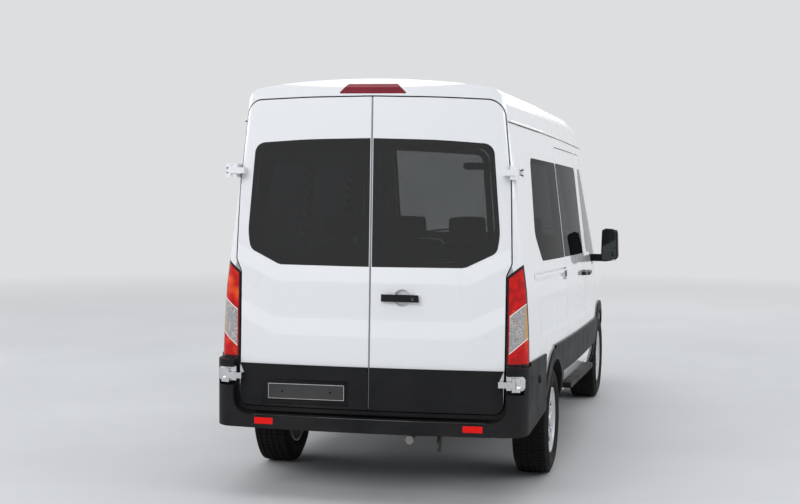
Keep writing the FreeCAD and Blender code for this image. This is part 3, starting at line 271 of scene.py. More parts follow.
# %% Materials
FINISHES = [
    # name, tone a, tone b, patch, rough low, rough high, dust, grain, depth mm, constants
    ("white_paint", (.810, .820, .833), (.815, .825, .838), 2.0, .27, .29, .05, 500, .006,
     {"Coat Weight": 1.0, "Coat Roughness": .03}),
    ("charcoal_plastic", (.0075, .0078, .0090), (.0120, .0123, .0138), 5.0, .50, .64, .07, 1500, .03,
     {"Specular IOR Level": .13}),
    ("black_plastic", (.005, .005, .0055), (.009, .009, .010), 8.0, .32, .46, .04, 1300, .03,
     {"Specular IOR Level": .22}),
    ("gloss_black", (.004, .004, .005), (.007, .007, .008), 8.0, .06, .12, .10, 900, .004,
     {"Coat Weight": .6}),
    ("cabin_plastic", (.045, .047, .052), (.060, .062, .067), 6.0, .50, .65, 0.0, 1200, .08, {}),
    ("cabin_lining", (.33, .335, .335), (.35, .355, .355), 9.0, .80, .92, 0.0, 1600, .10,
     {"Sheen Weight": .15}),
    ("seal_rubber", (.005, .005, .006), (.009, .009, .010), 9.0, .55, .70, .05, 1000, .03,
     {"Specular IOR Level": .30}),
    # painted light: a mid grey, used as painted shade in the slit between the rear doors and as a painted
    # highlight along the bumper step's front edge
    ("split_rubber", (.20, .205, .215), (.25, .255, .265), 9.0, .50, .62, .10, 1000, .03, {}),
    ("tyre_rubber", (.006, .006, .0065), (.009, .0088, .0085), 11.0, .62, .82, .05, 800, .10,
     {"Specular IOR Level": .10}),
    ("wheel_silver", (.50, .51, .53), (.58, .59, .60), 7.0, .28, .38, .16, 900, .010,
     {"Metallic": .75, "Coat Weight": .5, "Coat Roughness": .08}),
    ("bright_metal", (.60, .61, .62), (.70, .71, .72), 9.0, .16, .28, .15, 900, .006, {"Metallic": 1.0}),
    # mirror glass: nearly black metal, a painted dark reflection
    ("mirror_glass", (.045, .055, .058), (.055, .066, .07), 3.0, .02, .04, 0.0, 200, .0005,
     {"Metallic": 1.0}),
    ("mirror_silver", (.86, .87, .88), (.90, .91, .92), 3.0, .01, .02, 0.0, 200, .0005, {"Metallic": 1.0}),
    ("raw_steel", (.30, .295, .285), (.38, .37, .35), 9.0, .38, .55, .45, 700, .05, {"Metallic": .9}),
    ("black_steel", (.008, .008, .009), (.015, .0145, .014), 6.0, .45, .62, .25, 600, .06,
     {"Specular IOR Level": .35}),
    ("cast_metal", (.16, .16, .165), (.23, .23, .225), 12.0, .50, .68, .35, 450, .25, {"Metallic": .6}),
    ("lamp_red", (.80, .001, .001), (.88, .004, .002), 5.0, .08, .14, .04, 300, .004,
     {"Coat Weight": .10, "Coat Roughness": .02, "Specular IOR Level": .15}),
    ("brake_red", (.17, .008, .018), (.22, .012, .026), 5.0, .10, .16, .02, 300, .004,
     {"Coat Weight": .2, "Coat Roughness": .02, "Specular IOR Level": .25}),
    ("lamp_clear_face", (.60, .62, .65), (.74, .76, .78), 9.0, .08, .14, .08, 300, .004,
     {"Coat Weight": 1.0, "Coat Roughness": .02, "Metallic": .45}),
    ("amber", (.75, .25, .02), (.82, .30, .03), 5.0, .12, .2, .05, 300, .004, {"Coat Weight": 1.0}),
]
materials = {}


def blank_material(name):
    """New material with its tree, its shader and the object coordinates."""
    material = bpy.data.materials.new(name)
    material.use_nodes = True
    materials[name] = material
    tree = material.node_tree
    return material, tree, tree.nodes["Principled BSDF"], add(tree, "ShaderNodeTexCoord").outputs["Object"]


def relieved(tree, shader, height, distance):
    """Bump from a height, in metres, on the shader's normal."""
    bump = add(tree, "ShaderNodeBump")
    bump.inputs["Distance"].default_value = distance
    wire(height, bump.inputs["Height"])
    wire(bump.outputs["Normal"], shader.inputs["Normal"])


def finish_material(name, tone_a, tone_b, patch, low, high, dirt, grain, depth, constants):
    """Principled material from one row of the table."""
    material, tree, shader, where = blank_material(name)
    spots = add(tree, "ShaderNodeGroup", node_tree=mottle)
    for label, value in (("Tone A", (*tone_a, 1)), ("Tone B", (*tone_b, 1)), ("Scale", patch),
                         ("Rough Low", low), ("Rough High", high), ("Vector", where)):
        plug(value, spots.inputs[label])
    last = spots
    if dirt:
        last = add(tree, "ShaderNodeGroup", node_tree=dust)
        last.inputs["Amount"].default_value = dirt
        wire(where, last.inputs["Vector"])
        for label in ("Color", "Roughness"):
            wire(spots.outputs[label], last.inputs[label])
    wire(last.outputs["Color"], shader.inputs["Base Color"])
    wire(last.outputs["Roughness"], shader.inputs["Roughness"])
    rough = add(tree, "ShaderNodeGroup", node_tree=relief)
    rough.inputs["Scale"].default_value = grain
    wire(where, rough.inputs["Vector"])
    relieved(tree, shader, rough.outputs["Height"], depth / 1000)
    for label, value in constants.items():
        shader.inputs[label].default_value = value
    return material


for row in FINISHES:
    finish_material(*row)


def glass_material(name, tint_a, tint_b, index=1.45, patch=3.0):
    """Tinted glass: plain transmission, with a faint film of dust in its roughness."""
    finish_material(name, tint_a, tint_b, patch, .0, .02, 0.0, 30, .002,
                    {"Transmission Weight": 1.0, "IOR": index})


glass_material("privacy_glass", (.105, .11, .115), (.12, .125, .13), 1.5)
glass_material("side_glass", (.026, .027, .029), (.032, .033, .035), 1.03)
glass_material("door_glass", (.30, .32, .32), (.33, .35, .35), 1.10)
glass_material("screen_glass", (.86, .90, .88), (.89, .92, .90))
glass_material("lens_glass", (.95, .96, .97), (.97, .98, .98))

tree, shader, where = blank_material("seat_fabric")[1:]
cloth = add(tree, "ShaderNodeGroup", node_tree=weave)
for label, value in (("Tone A", (.020, .022, .028, 1)), ("Tone B", (.070, .074, .085, 1)),
                     ("Thread", 2600.0), ("Vector", where)):
    plug(value, cloth.inputs[label])
wire(cloth.outputs["Color"], shader.inputs["Base Color"])
relieved(tree, shader, cloth.outputs["Height"], .0004)
shader.inputs["Roughness"].default_value = .9
shader.inputs["Sheen Weight"].default_value = .35
print("materials:", len(materials))

# %% [markdown]
# The floor is part of the studio. It is pale and dull so that nothing competes with the bus, and
# slightly mottled, like painted concrete. Further out it glows faintly in the sky's own tone, so
# that camera, mirrors and glass see no edge between floor and sky.

# %% Floor finish
concrete = finish_material("stage_concrete", (.52, .525, .53), (.56, .565, .57), .6, .75, .9, 0.0, 200, .3,
                           {"Specular IOR Level": .2})
floor.data.materials.append(concrete)
tree = concrete.node_tree
where = add(tree, "ShaderNodeTexCoord").outputs["Object"]
away = add(tree, "ShaderNodeVectorMath", operation="LENGTH")
wire(where, away.inputs[0])
far = ranged(away.outputs["Value"], 5.0, 15.0)
ray = add(tree, "ShaderNodeLightPath")
seen = maths("MAXIMUM", maths("MAXIMUM", ray.outputs["Is Camera Ray"], ray.outputs["Is Glossy Ray"]),
             ray.outputs["Is Transmission Ray"])
glow = add(tree, "ShaderNodeEmission")
glow.inputs["Color"].default_value = PALE
blend = add(tree, "ShaderNodeMixShader")
wire(times(far, seen), blend.inputs[0])
wire(tree.nodes["Principled BSDF"].outputs[0], blend.inputs[1])
wire(glow.outputs[0], blend.inputs[2])
wire(blend.outputs[0], tree.nodes["Material Output"].inputs["Surface"])

# %% [markdown]
# Every CAD node gets its finish. A few nodes hold more than one finish on the real bus, such as a
# door with its black handle and its grey cladding. There the faces are told apart by place: the
# cladding and the handles stand proud of the painted skin, and the linings lie inside it.

# %% Finishes of the CAD nodes
FINISH_NODES = {
    "white_paint": "body_side_right body_side_left roof sliding_door door_front_right door_front_left "
                   "door_rear_left door_rear_right wing_right wing_left bonnet",
    "charcoal_plastic": "rear_bumper side_cladding front_bumper side_step",
    "black_plastic": "grille mirror_right mirror_left", "cabin_plastic": "dashboard steering_wheel",
    "side_glass": "fixed_glass", "door_glass": "glass_front_right glass_front_left",
    "privacy_glass": "glass_rear_left glass_rear_right", "lens_glass": "headlamps", "lamp_red": "rear_lamps",
    "black_steel": "front_panel bulkhead floor chassis front_subframe rear_axle", "raw_steel": "underbody",
    "seat_fabric": "driver_seat passenger_seat bench_middle bench_rear",
    "cast_metal": "engine knuckle_right knuckle_left",
    "tyre_rubber": "tyre_front_left tyre_front_right tyre_rear_left tyre_rear_right",
    "wheel_silver": "rim_front_left rim_front_right rim_rear_left rim_rear_right",
}
for finish, names in FINISH_NODES.items():
    for name in names.split():
        nodes[name].data.materials.clear()
        nodes[name].data.materials.append(materials[finish])
LEVELS = [(.24, .930, .058), (.42, .975, .064), (.62, 1.002, .070), (.86, 1.004, .081), (1.08, .997, .091),
          (1.29, .985, .100), (2.27, .866, .144), (2.64, .821, .160)]
X_TAIL, AXLE_F, AXLE_R, AXLE_Z, ARCH_R = -2.7655, 1.7425, -1.5575, .350, .4045
HANDLE_Z = 1.242
SIDES = ((-1, "right"), (1, "left"))
FACING = .9


def level(z, column):
    """Half width (1) or set-in of the tail (2) at height z, as the CAD walls have them."""
    for a, b in zip(LEVELS, LEVELS[1:]):
        if z <= b[0]:
            return a[column] + (b[column] - a[column]) * (z - a[0]) / (b[0] - a[0])
    return LEVELS[-1][column]


def side_y(x, z):
    """Half width of the barrelled side wall."""
    return level(z, 1) - (x + .2) ** 2 * .046 / 5.76


def tail_x(z, y=0.0):
    """Where the leaning, slightly rounded rear face is."""
    return X_TAIL + level(z, 2) + y * y / 18.0


def line_z(base, x):
    """Height at x of a body line that falls towards the nose."""
    return base - .042 * (x + 2.5005)


def repaint(node_name, finish, test):
    """Give another finish to the faces whose middle passes the test."""
    mesh = nodes[node_name].data
    mesh.materials.append(materials[finish])
    slot = len(mesh.materials) - 1
    count = 0
    for face in mesh.polygons:
        if test(face.center, face.normal):
            face.material_index = slot
            count += 1
    print(node_name, finish, count, "faces")


def in_arch(p):
    """Whether a point lies in a wheel arch."""
    return any(math.hypot(p.x - x, p.z - AXLE_Z) < ARCH_R for x in (AXLE_F, AXLE_R))


def behind(p):
    """How far a point stands behind the rear face."""
    return tail_x(p.z, p.y) - p.x


for name in ("door_rear_left", "door_rear_right"):
    repaint(name, "cabin_lining", lambda p, n: n.x > .7 and behind(p) < -.03)
    repaint(name, "charcoal_plastic", lambda p, n: p.z < .8185 and behind(p) > -.024)
    repaint(name, "gloss_black", lambda p, n: 1.35 < p.z < 2.24 and n.x < -.5
            and abs(p.y) < .79 - .082 * max(p.z - 1.62, 0) and abs(behind(p) + .0053) < .0025)
    repaint(name, "bright_metal", lambda p, n: .70 < p.z < .79 and abs(p.y) > .78 and behind(p) > .008)
repaint("door_rear_right", "black_plastic", lambda p, n: -.31 < p.y < -.07 and 1.21 < p.z < 1.27
        and p.x < tail_x(HANDLE_Z) - .0115)
for name, side in (("body_side_right", -1), ("body_side_left", 1), ("sliding_door", -1),
                   ("door_front_right", -1), ("door_front_left", 1)):
    depth = lambda p: side_y(p.x, p.z) - side * p.y
    repaint(name, "gloss_black", lambda p, n: p.z > 1.28 and .003 < depth(p) < .0075 and n.y * side > .5
            and -2.12 < p.x < 1.3)
    repaint(name, "cabin_lining", lambda p, n: depth(p) > .030 and n.y * side < .2 and p.z > .62)
    repaint(name, "charcoal_plastic", lambda p, n: depth(p) < -.0012 and p.z < line_z(.95, p.x))
    repaint(name, "black_plastic", lambda p, n: abs(n.y) < .3 and in_arch(p))
for name in ("sliding_door", "door_front_right", "door_front_left"):
    repaint(name, "black_plastic", lambda p, n: abs(p.y) > side_y(p.x, p.z) + .0015 and 1.10 < p.z < 1.31)
for name in ("body_side_right", "body_side_left"):
    # Low at the tail the body sides turn charcoal. At the corners, up to .835, this is the bumper's own
    # charcoal; below .62, across the tail and on the inner faces, it is painted shade in the gap under the
    # rear doors.
    repaint(name, "charcoal_plastic",
            lambda p, n: p.x < -2.55 and (p.z < .62 or p.z < .835 and abs(p.y) > .80))
    repaint(name, "charcoal_plastic", lambda p, n: p.x < -1.9 and p.z < .62 and abs(p.y) < .93)
    repaint(name, "bright_metal", lambda p, n: behind(p) > .002 and p.z < .90)
repaint("fixed_glass", "screen_glass", lambda p, n: p.x > .6)
repaint("roof", "cabin_lining", lambda p, n: n.z < -.2 and abs(p.y) < .80 and -2.60 < p.x < 1.9)

# %% [markdown]
# Modelling helpers. Each new piece starts as a primitive at its size and place. Its faces, edges or
# corners are picked by where they are, an edit operator shapes them, and modifiers finish the form.
# A piece keeps its place in its mesh, so its object stays at the origin like a CAD node's.

# %% Primitives, picking and finishing
def cube(name, low, high):
    """Cube between two corners."""
    clear()
    low, high = Vector(low), Vector(high)
    bpy.ops.mesh.primitive_cube_add(size=1, location=(low + high) / 2)
    piece = bpy.context.object
    piece.name = name
    piece.scale = high - low
    bpy.ops.object.transform_apply()
    return piece


def drum(name, centre, axis, radius, depth, sides=24):
    """Cylinder about an axis."""
    clear()
    turn = Vector(axis).to_track_quat("Z", "Y").to_euler()
    bpy.ops.mesh.primitive_cylinder_add(vertices=sides, radius=radius, depth=depth, location=centre,
                                        rotation=turn)
    piece = bpy.context.object
    piece.name = name
    bpy.ops.object.transform_apply()
    return piece


def outline(name, corners, filled=True):
    """Outline: a circle primitive whose points are moved, one by one, to the corners."""
    clear()
    fill = "NGON" if filled else "NOTHING"
    bpy.ops.mesh.primitive_circle_add(vertices=len(corners), radius=1, fill_type=fill)
    piece = bpy.context.object
    piece.name = name
    for vertex, corner in zip(piece.data.vertices, corners):
        vertex.co = corner
    return piece


def pick(piece, kind, test=None):
    """Edit mode, with only the VERT, EDGE or FACE elements that pass the test on middle and normal."""
    only(piece)
    bpy.ops.object.mode_set(mode="EDIT")
    bpy.ops.mesh.select_mode(type=kind)
    bpy.ops.mesh.select_all(action="DESELECT" if test else "SELECT")
    if not test:
        return
    bpy.ops.object.mode_set(mode="OBJECT")
    mesh = piece.data
    if kind == "FACE":
        for face in mesh.polygons:
            face.select = bool(test(face.center, face.normal))
    elif kind == "VERT":
        for vertex in mesh.vertices:
            vertex.select = bool(test(vertex.co, vertex.normal))
    else:
        for edge in mesh.edges:
            a, b = (mesh.vertices[i].co for i in edge.vertices)
            edge.select = bool(test((a + b) / 2, (b - a).normalized()))
    bpy.ops.object.mode_set(mode="EDIT")


def leave():
    """Back to object mode."""
    bpy.ops.object.mode_set(mode="OBJECT")


def pushed(piece, test, *stages):
    """Inset the faces that pass the test and move them; each stage is (rim, x, y, z)."""
    pick(piece, "FACE", test)
    for rim, x, y, z in stages:
        bpy.ops.mesh.inset(thickness=rim)
        if x or y or z:
            bpy.ops.transform.translate(value=(x, y, z))
    leave()
    return piece


def faces(axis, sign):
    """Test for faces that look along an axis, or against it."""
    return lambda p, n: n[axis] * sign > FACING


FORWARD, REARWARD, UPWARD, LEFTWARD = faces(0, 1), faces(0, -1), faces(2, 1), faces(1, 1)


def scaled(piece, test, *factors):
    """Scale the faces that pass the test about their middle."""
    pick(piece, "FACE", test)
    bpy.ops.transform.resize(value=factors)
    leave()
    return piece


def opened(piece, rim, test=None):
    """Leave only a rim of the faces that pass the test."""
    pick(piece, "FACE", test)
    bpy.ops.mesh.inset(thickness=rim)
    bpy.ops.mesh.delete(type="FACE")
    leave()
    return piece


def bent(piece, rule):
    """Move every point of a piece by a rule of its place."""
    for vertex in piece.data.vertices:
        vertex.co = rule(vertex.co)
    return piece


def round_corners(piece, radii, segments=5):
    """Bevel each corner of an outline by its own radius."""
    places = [vertex.co.copy() for vertex in piece.data.vertices]
    for place, radius in zip(places, radii):
        if radius:
            pick(piece, "VERT", lambda p, n: (p - place).length < 1e-5)
            bpy.ops.mesh.bevel(offset=radius, affect="VERTICES", segments=segments)
            leave()
    return piece


def slices(piece, axis, start, stop, count):
    """Cut a piece across at even places, so that it can follow a curved wall."""
    normal = Vector([float(i == axis) for i in range(3)])
    for i in range(1, count):
        pick(piece, "FACE")
        bpy.ops.mesh.bisect(plane_co=normal * (start + (stop - start) * i / count), plane_no=normal)
        leave()
    return piece


def extruded(piece, move):
    """Pull all faces of a flat piece along a vector, which closes it to a solid."""
    pick(piece, "FACE")
    bpy.ops.mesh.extrude_region_move(TRANSFORM_OT_translate={"value": move})
    leave()
    return piece


def slab(name, corners, radii, move, segments=6):
    """Plate: an outline with rounded corners, pulled along a vector."""
    return extruded(round_corners(outline(name, corners), radii, segments), move)


def modified(piece, kind, **settings):
    """Modifier with its settings, applied."""
    only(piece)
    modifier = piece.modifiers.new(kind.lower(), kind)
    for key, value in settings.items():
        setattr(modifier, key, value)
    bpy.ops.object.modifier_apply(modifier=modifier.name)
    return piece


def beveled(piece, width, segments=2, angle=35):
    """Rounded sharp edges."""
    return modified(piece, "BEVEL", width=width, segments=segments, angle_limit=math.radians(angle))


def thick(piece, depth, offset=1.0):
    """Wall that grows along the normals."""
    return modified(piece, "SOLIDIFY", thickness=depth, offset=offset)


def on_tail(piece, gap):
    """Lay a piece that was drawn at x = 0 on the rear face, that far behind it."""
    return bent(piece, lambda p: (p.x + tail_x(p.z, p.y) - gap, p.y, p.z))


def on_side(piece, gap, side=-1):
    """Lay a piece that was drawn at y = 0 on a side, that far outside it."""
    return bent(piece, lambda p: (p.x, side * (side_y(p.x, p.z) + gap + abs(p.y)), p.z))


BODY = "body"
SLOT_FINISHES = {
    "paint_white": "white_paint", "cladding_grey": "charcoal_plastic",
    "trim_black": "black_plastic gloss_black seal_rubber split_rubber",
    "trim_dark": "cabin_plastic cabin_lining", "tyre_rubber": "tyre_rubber",
    "wheel_silver": "wheel_silver", "steel_raw": "bright_metal mirror_silver mirror_glass raw_steel",
    "steel_black": "black_steel", "engine_metal": "cast_metal", "lamp_red": "lamp_red brake_red amber",
    "lamp_clear": "lamp_clear_face lens_glass", "window_glass": "privacy_glass screen_glass",
    "seat_fabric": "seat_fabric",
}
SLOTS = {finish: slot for slot, finishes in SLOT_FINISHES.items() for finish in finishes.split()}
made = []


def finished(piece, finish, body=BODY, angle=35):
    """Merge doubles, point the faces outwards, smooth the soft edges, paint, and ride on a body."""
    pick(piece, "FACE")
    bpy.ops.mesh.remove_doubles(threshold=1e-5)
    bpy.ops.mesh.normals_make_consistent(inside=False)
    leave()
    bpy.ops.object.shade_smooth_by_angle(angle=math.radians(angle))
    piece.data.materials.clear()
    piece.data.materials.append(materials[finish])
    piece["finish"] = finish
    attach(piece, body)
    made.append(piece)
    return piece


def duplicate(piece):
    """Copy of an object with its own mesh."""
    only(piece)
    bpy.ops.object.duplicate(linked=False)
    return bpy.context.object


def copied(piece, name, change, body=BODY):
    """Copy of a finished piece, moved or mirrored by a matrix."""
    twin = duplicate(piece)
    twin.name = name
    for index, material in enumerate(piece.data.materials):
        twin.data.materials[index] = material
    twin.data.transform(change)
    if change.determinant() < 0:
        pick(twin, "FACE")
        bpy.ops.mesh.normals_make_consistent(inside=False)
        leave()
    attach(twin, body)
    made.append(twin)
    return twin


def dropped(piece):
    """Remove a pattern piece once it has been copied."""
    made.remove(piece)
    bpy.data.objects.remove(piece)


def joined(name, pieces):
    """Several shapes as one piece."""
    clear()
    for piece in pieces:
        piece.select_set(True)
    bpy.context.view_layer.objects.active = pieces[0]
    bpy.ops.object.join()
    pieces[0].name = name
    return pieces[0]


def spun(name, profile, centre, steps=64):
    """Ring spun about the Y axis through a centre, from a closed profile of (radius, y) points."""
    centre = Vector(centre)
    piece = outline(name, [centre + Vector((0, y, radius)) for radius, y in profile], filled=False)
    pick(piece, "EDGE")
    bpy.ops.mesh.spin(steps=steps, angle=2 * math.pi, center=centre, axis=(0, 1, 0))
    bpy.ops.mesh.select_all(action="SELECT")
    bpy.ops.mesh.remove_doubles(threshold=1e-5)
    bpy.ops.mesh.normals_make_consistent(inside=False)
    leave()
    return piece


def aimed(place, axis, own="Y", up="Z"):
    """Matrix that puts a shape at a place, with one of its own axes along an axis."""
    return Matrix.Translation(place) @ Vector(axis).to_track_quat(own, up).to_matrix().to_4x4()


def at_wheel(x, y):
    """Matrix that puts a shape made about the origin, its outer side at +Y, on an axle's end."""
    turn = Matrix.Identity(4) if y > 0 else Matrix.Rotation(math.pi, 4, "Z")
    return Matrix.Translation((x, y, AXLE_Z)) @ turn


MIRROR_Y = Matrix.Diagonal((1, -1, 1, 1))
print("helpers ready")

# %% [markdown]
# Tyres. A tyre's section is drawn once and spun about the axle. Thin ridges ring the side wall as on
# real ones. The tread is cut as blocks: the crown's faces are inset one by one, which leaves the
# cross grooves, and pulled out by the depth of the tread, which leaves the long grooves between.

# %% Tyres
TRACK, TRACK_REAR, TYRE_R = 1.736, 1.742, .350
WHEELS = [("front_left", AXLE_F, TRACK / 2), ("front_right", AXLE_F, -TRACK / 2),
          ("rear_left", AXLE_R, TRACK_REAR / 2), ("rear_right", AXLE_R, -TRACK_REAR / 2)]
SIDEWALL = [(.2015, .0885), (.216, .095), (.226, .1005), (.228, .1022), (.233, .1045), (.235, .1040),
            (.252, .1115), (.272, .1170), (.296, .1165), (.298, .1172), (.303, .1155), (.305, .1140),
            (.322, .1080), (.334, .1010)]
CROWN, GROOVE, TREAD = TYRE_R - .0075, .0021, .0068
RIBS = [(.098, .062), (.054, .021), (.013, -.013)]
crown = [(CROWN - .004, .098), (CROWN, .062), (CROWN, .054), (CROWN, .021), (CROWN, .013)]
half = SIDEWALL + crown
tyre = spun("tyre_tread", half + [(r, -y) for r, y in reversed(half)], (0, 0, 0), 72)
ribs = RIBS + [(-b, -a) for a, b in RIBS[:2]]
pick(tyre, "FACE", lambda p, n: math.hypot(p.x, p.z) > CROWN - .006
     and any(b < p.y < a for a, b in ribs))
bpy.ops.mesh.inset(thickness=GROOVE, use_individual=True)
bpy.ops.mesh.extrude_faces_move(MESH_OT_extrude_faces_indiv={},
                                TRANSFORM_OT_shrink_fatten={"value": TREAD})
leave()
reach = max(math.hypot(v.co.x, v.co.z) for v in tyre.data.vertices)
print("tyre radius %.4f m, triangles about %d" % (reach, 2 * len(tyre.data.polygons)))
finished(tyre, "tyre_rubber", angle=28)
for name, x, y in WHEELS:
    piece = copied(tyre, "tread_" + name, at_wheel(x, y), "wheel_" + name)
    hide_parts("tyre_" + name)
dropped(tyre)

# %% [markdown]
# Hubs and brakes. Five domed nuts hold the wheel, and a pressed cap closes the bore. Through the
# openings one sees a brake disc. The nut is a six-sided drum whose top is inset and pulled up, and
# it is copied around the hub.

# %% Hub caps, nuts and brake discs
cap = drum("hub_cap", (0, .090, 0), (0, 1, 0), .046, .012, 40)
pushed(cap, LEFTWARD, (.008, 0, .005, 0), (.016, 0, -.003, 0))
beveled(cap, .002)
parts = [cap]
for i in range(5):
    angle = 2 * math.pi * i / 5
    nut = drum("nut", (.082 * math.sin(angle), .083, .082 * math.cos(angle)), (0, 1, 0), .0125, .020, 6)
    pushed(nut, LEFTWARD, (.003, 0, .004, 0), (.004, 0, .002, 0))
    parts.append(beveled(nut, .001, 1))
hub = finished(joined("hub_cap_front_left", parts), "wheel_silver")
disc = spun("brake_disc", [(.062, .036), (.062, .012), (.148, .012), (.150, .014), (.150, .034),
                           (.148, .036)], (0, 0, 0), 48)
finished(beveled(disc, .001, 1), "raw_steel")
for name, x, y in WHEELS:
    copied(hub, "hub_nuts_" + name, at_wheel(x, y), "wheel_" + name)
    copied(disc, "brake_" + name, at_wheel(x, y), "wheel_" + name)
for piece in (hub, disc):
    dropped(piece)
print("wheel pieces:", len(made))

# %% [markdown]
# Tail lamps. The lens is one moulding: red at the top and bottom, clear between two slanting lines,
# and nearly black along its edge. The bands are cut in the material from the place on the lamp, and
# small cells in the bump stand for the reflector behind the lens.

# %% Tail lamp finish
def steps(value, edge, soft=.0008):
    """0 below an edge, 1 above it."""
    return ranged(value, edge - soft, edge + soft)


def under(value, edge, soft=.0008):
    """1 below an edge, 0 above it."""
    return minus(1.0, steps(value, edge, soft))


lamp, tree, shader, where = blank_material("tail_lamp")
px, py, pz = axes(where)
ay = maths("ABSOLUTE", py)
above = minus(pz, times(ay, .80))
below = minus(pz, times(ay, .86))
inside = times(steps(ay, .846), under(ay, .953))
band = times(under(above, .4688), steps(below, .190))
clear_part = times(band, inside)
core = times(under(above, .4625), steps(below, .1965))
white_line = times(clear_part, minus(1.0, core))
cells = add(tree, "ShaderNodeTexVoronoi")
cells.inputs["Scale"].default_value = 75.0
wire(where, cells.inputs["Vector"])
glints = noise(where, 26.0, 2.0)
bulbs = noise(where, 9.0, 1.0)
red = mixed(ranged(glints, .35, .75), (.42, .003, .004, 1), (.74, .008, .005, 1))
red = mixed(ranged(bulbs, .56, .72), red, (.85, .09, .015, 1))
silver = mixed(ranged(cells.outputs["Distance"], .1, .7), (.17, .155, .15, 1), (.52, .48, .46, 1))
silver = mixed(ranged(glints, .40, .60), (.34, .34, .35, 1), silver)
silver = mixed(steps(ay, .932, .003), silver, (.52, .33, .16, 1))
colour = mixed(clear_part, red, silver)
colour = mixed(white_line, colour, (.85, .86, .86, 1))
edge = under(ay, .8405, .003)
top = minus(pz, times(ay, .793))
edge = maths("MAXIMUM", edge, steps(top, .7025, .004))
edge = maths("MAXIMUM", edge, under(pz, .861, .003))
edge = maths("MAXIMUM", edge, steps(px, -2.5735, .003))
wire(mixed(edge, colour, (.016, .004, .005, 1)), shader.inputs["Base Color"])
wire(ranged(glints, .3, .7, .05, .12), shader.inputs["Roughness"])
relieved(tree, shader, cells.outputs["Distance"], .0008)
shader.inputs["Coat Weight"].default_value = .15
shader.inputs["Specular IOR Level"].default_value = .2
lamps = nodes["rear_lamps"].data
lamps.materials.clear()
lamps.materials.append(lamp)
HIGH_LAMP_Z = 2.478
repaint("rear_lamps", "brake_red", lambda p, n: abs(p.y) < .4 and p.z > HIGH_LAMP_Z)
repaint("rear_lamps", "gloss_black", lambda p, n: abs(p.y) < .4 and p.z <= HIGH_LAMP_Z)

# %% [markdown]
# Pressings. The rear doors are stamped sheet: below the window the metal leans out, then back,
# then out again, with creases that rise towards the outer edges. The sides have one shallow channel
# along them. The offset is only a few millimetres, so a bump whose height is the real offset in
# metres gives the right slopes.

# %% Pressed paint of the rear doors and sides
# each fold: where it starts and ends in height, and how far the metal is out, in metres
DOOR_FOLDS = ((1.330, 1.430, -.0120), (1.127, 1.318, .0080), (1.000, 1.105, -.0130), (.830, .985, .0060))
pressing, given, result = group("door_pressing", {}, ("Height",))
px, py, pz = axes(given["Vector"])
across = maths("ABSOLUTE", py)
rise = times(maths("MAXIMUM", minus(across, .60), 0.0), .48)
level_z = minus(pz, rise)
total = 0.0
for low, high, gain in DOOR_FOLDS:
    total = plus(times(ranged(level_z, low, high), gain), total)
wire(total, result["Height"])


def pressed_paint(name, form):
    """White paint over a pressing whose height comes from a group, in metres."""
    paint = materials["white_paint"].copy()
    paint.name = name
    tree = paint.node_tree
    shader = tree.nodes["Principled BSDF"]
    fine = shader.inputs["Normal"].links[0].from_node
    shape = add(tree, "ShaderNodeGroup", node_tree=form)
    wire(add(tree, "ShaderNodeTexCoord").outputs["Object"], shape.inputs["Vector"])
    large = add(tree, "ShaderNodeBump")
    large.inputs["Distance"].default_value = 1.0
    wire(shape.outputs["Height"], large.inputs["Height"])
    wire(large.outputs["Normal"], fine.inputs["Normal"])
    materials[name] = paint
    SLOTS[name] = "paint_white"


pressed_paint("door_paint", pressing)
for name in ("door_rear_left", "door_rear_right"):
    nodes[name].data.materials[0] = materials["door_paint"]
side_form, given, result = group("side_pressing", {}, ("Height",))
px, py, pz = axes(given["Vector"])
level_z = plus(pz, times(px, .042))
channel = minus(ranged(level_z, .870, .900), ranged(level_z, 1.085, 1.125))
ends = times(ranged(px, -2.12, -2.04), ranged(px, 1.20, 1.10))
wire(times(times(channel, ends), -.006), result["Height"])
pressed_paint("side_paint", side_form)
for name in ("body_side_right", "body_side_left", "sliding_door", "door_front_right",
             "door_front_left"):
    nodes[name].data.materials[0] = materials["side_paint"]
print("pressed paint on the rear doors and the sides")

# %% [markdown]
# Rear door details. A grey strip fills the slit between the two doors and is seen from top to
# bottom; its grey is painted shade on the doors' white edges in the slit. It is a thin bar, cut into
# short lengths so that it can follow the leaning rear face, with rounded edges. Behind each pane the
# glass has a printed black border, called a frit: an outline of the window is inset, its middle is
# deleted, and the ring that is left is laid behind the glass.

# %% Door slit strip and window borders
# painted shade: a grey strip in the slit between the rear doors
strip = slices(cube("split_shade_strip", (.004, -.0034, .566), (.022, .0034, 2.442)), 2, .566, 2.442, 26)
on_tail(strip, .0055)
finished(beveled(strip, .0015), "split_rubber", "door_rear_left")

# corners of a rear window as y, z and the corner's radius
WINDOW = [(.009, 1.425, 0), (.575, 1.428, .09), (.765, 1.520, .06), (.783, 1.620, .15),
          (.738, 2.168, .07), (.400, 2.192, .25), (.009, 2.200, 0)]


def window_border(name, corners, width, body, gap=-.0068):
    """Black ring behind a rear pane."""
    ring = outline(name, [(0, y, z) for y, z, r in corners])
    round_corners(ring, [r for y, z, r in corners], 6)
    opened(ring, width)
    slices(ring, 2, 1.42, 2.20, 10)
    slices(ring, 1, -.8, .8, 12)
    on_tail(ring, gap)
    return finished(thick(ring, .0006, 0), "gloss_black", body)


SEAL = .033
inner = [(y + .042 if y < .1 else y - SEAL, z + SEAL if z < 1.6 else z - SEAL, r) for y, z, r in WINDOW]
window_border("window_border_left", inner, .038, "door_rear_left")
copied(made[-1], "window_border_right", MIRROR_Y, "door_rear_right")

# %% [markdown]
# The plate holder sits in a shallow recess of the left door. It is a black tray with a thin bright
# rim and two screws, and the plate itself stays blank. The tray's front is inset and pushed in.

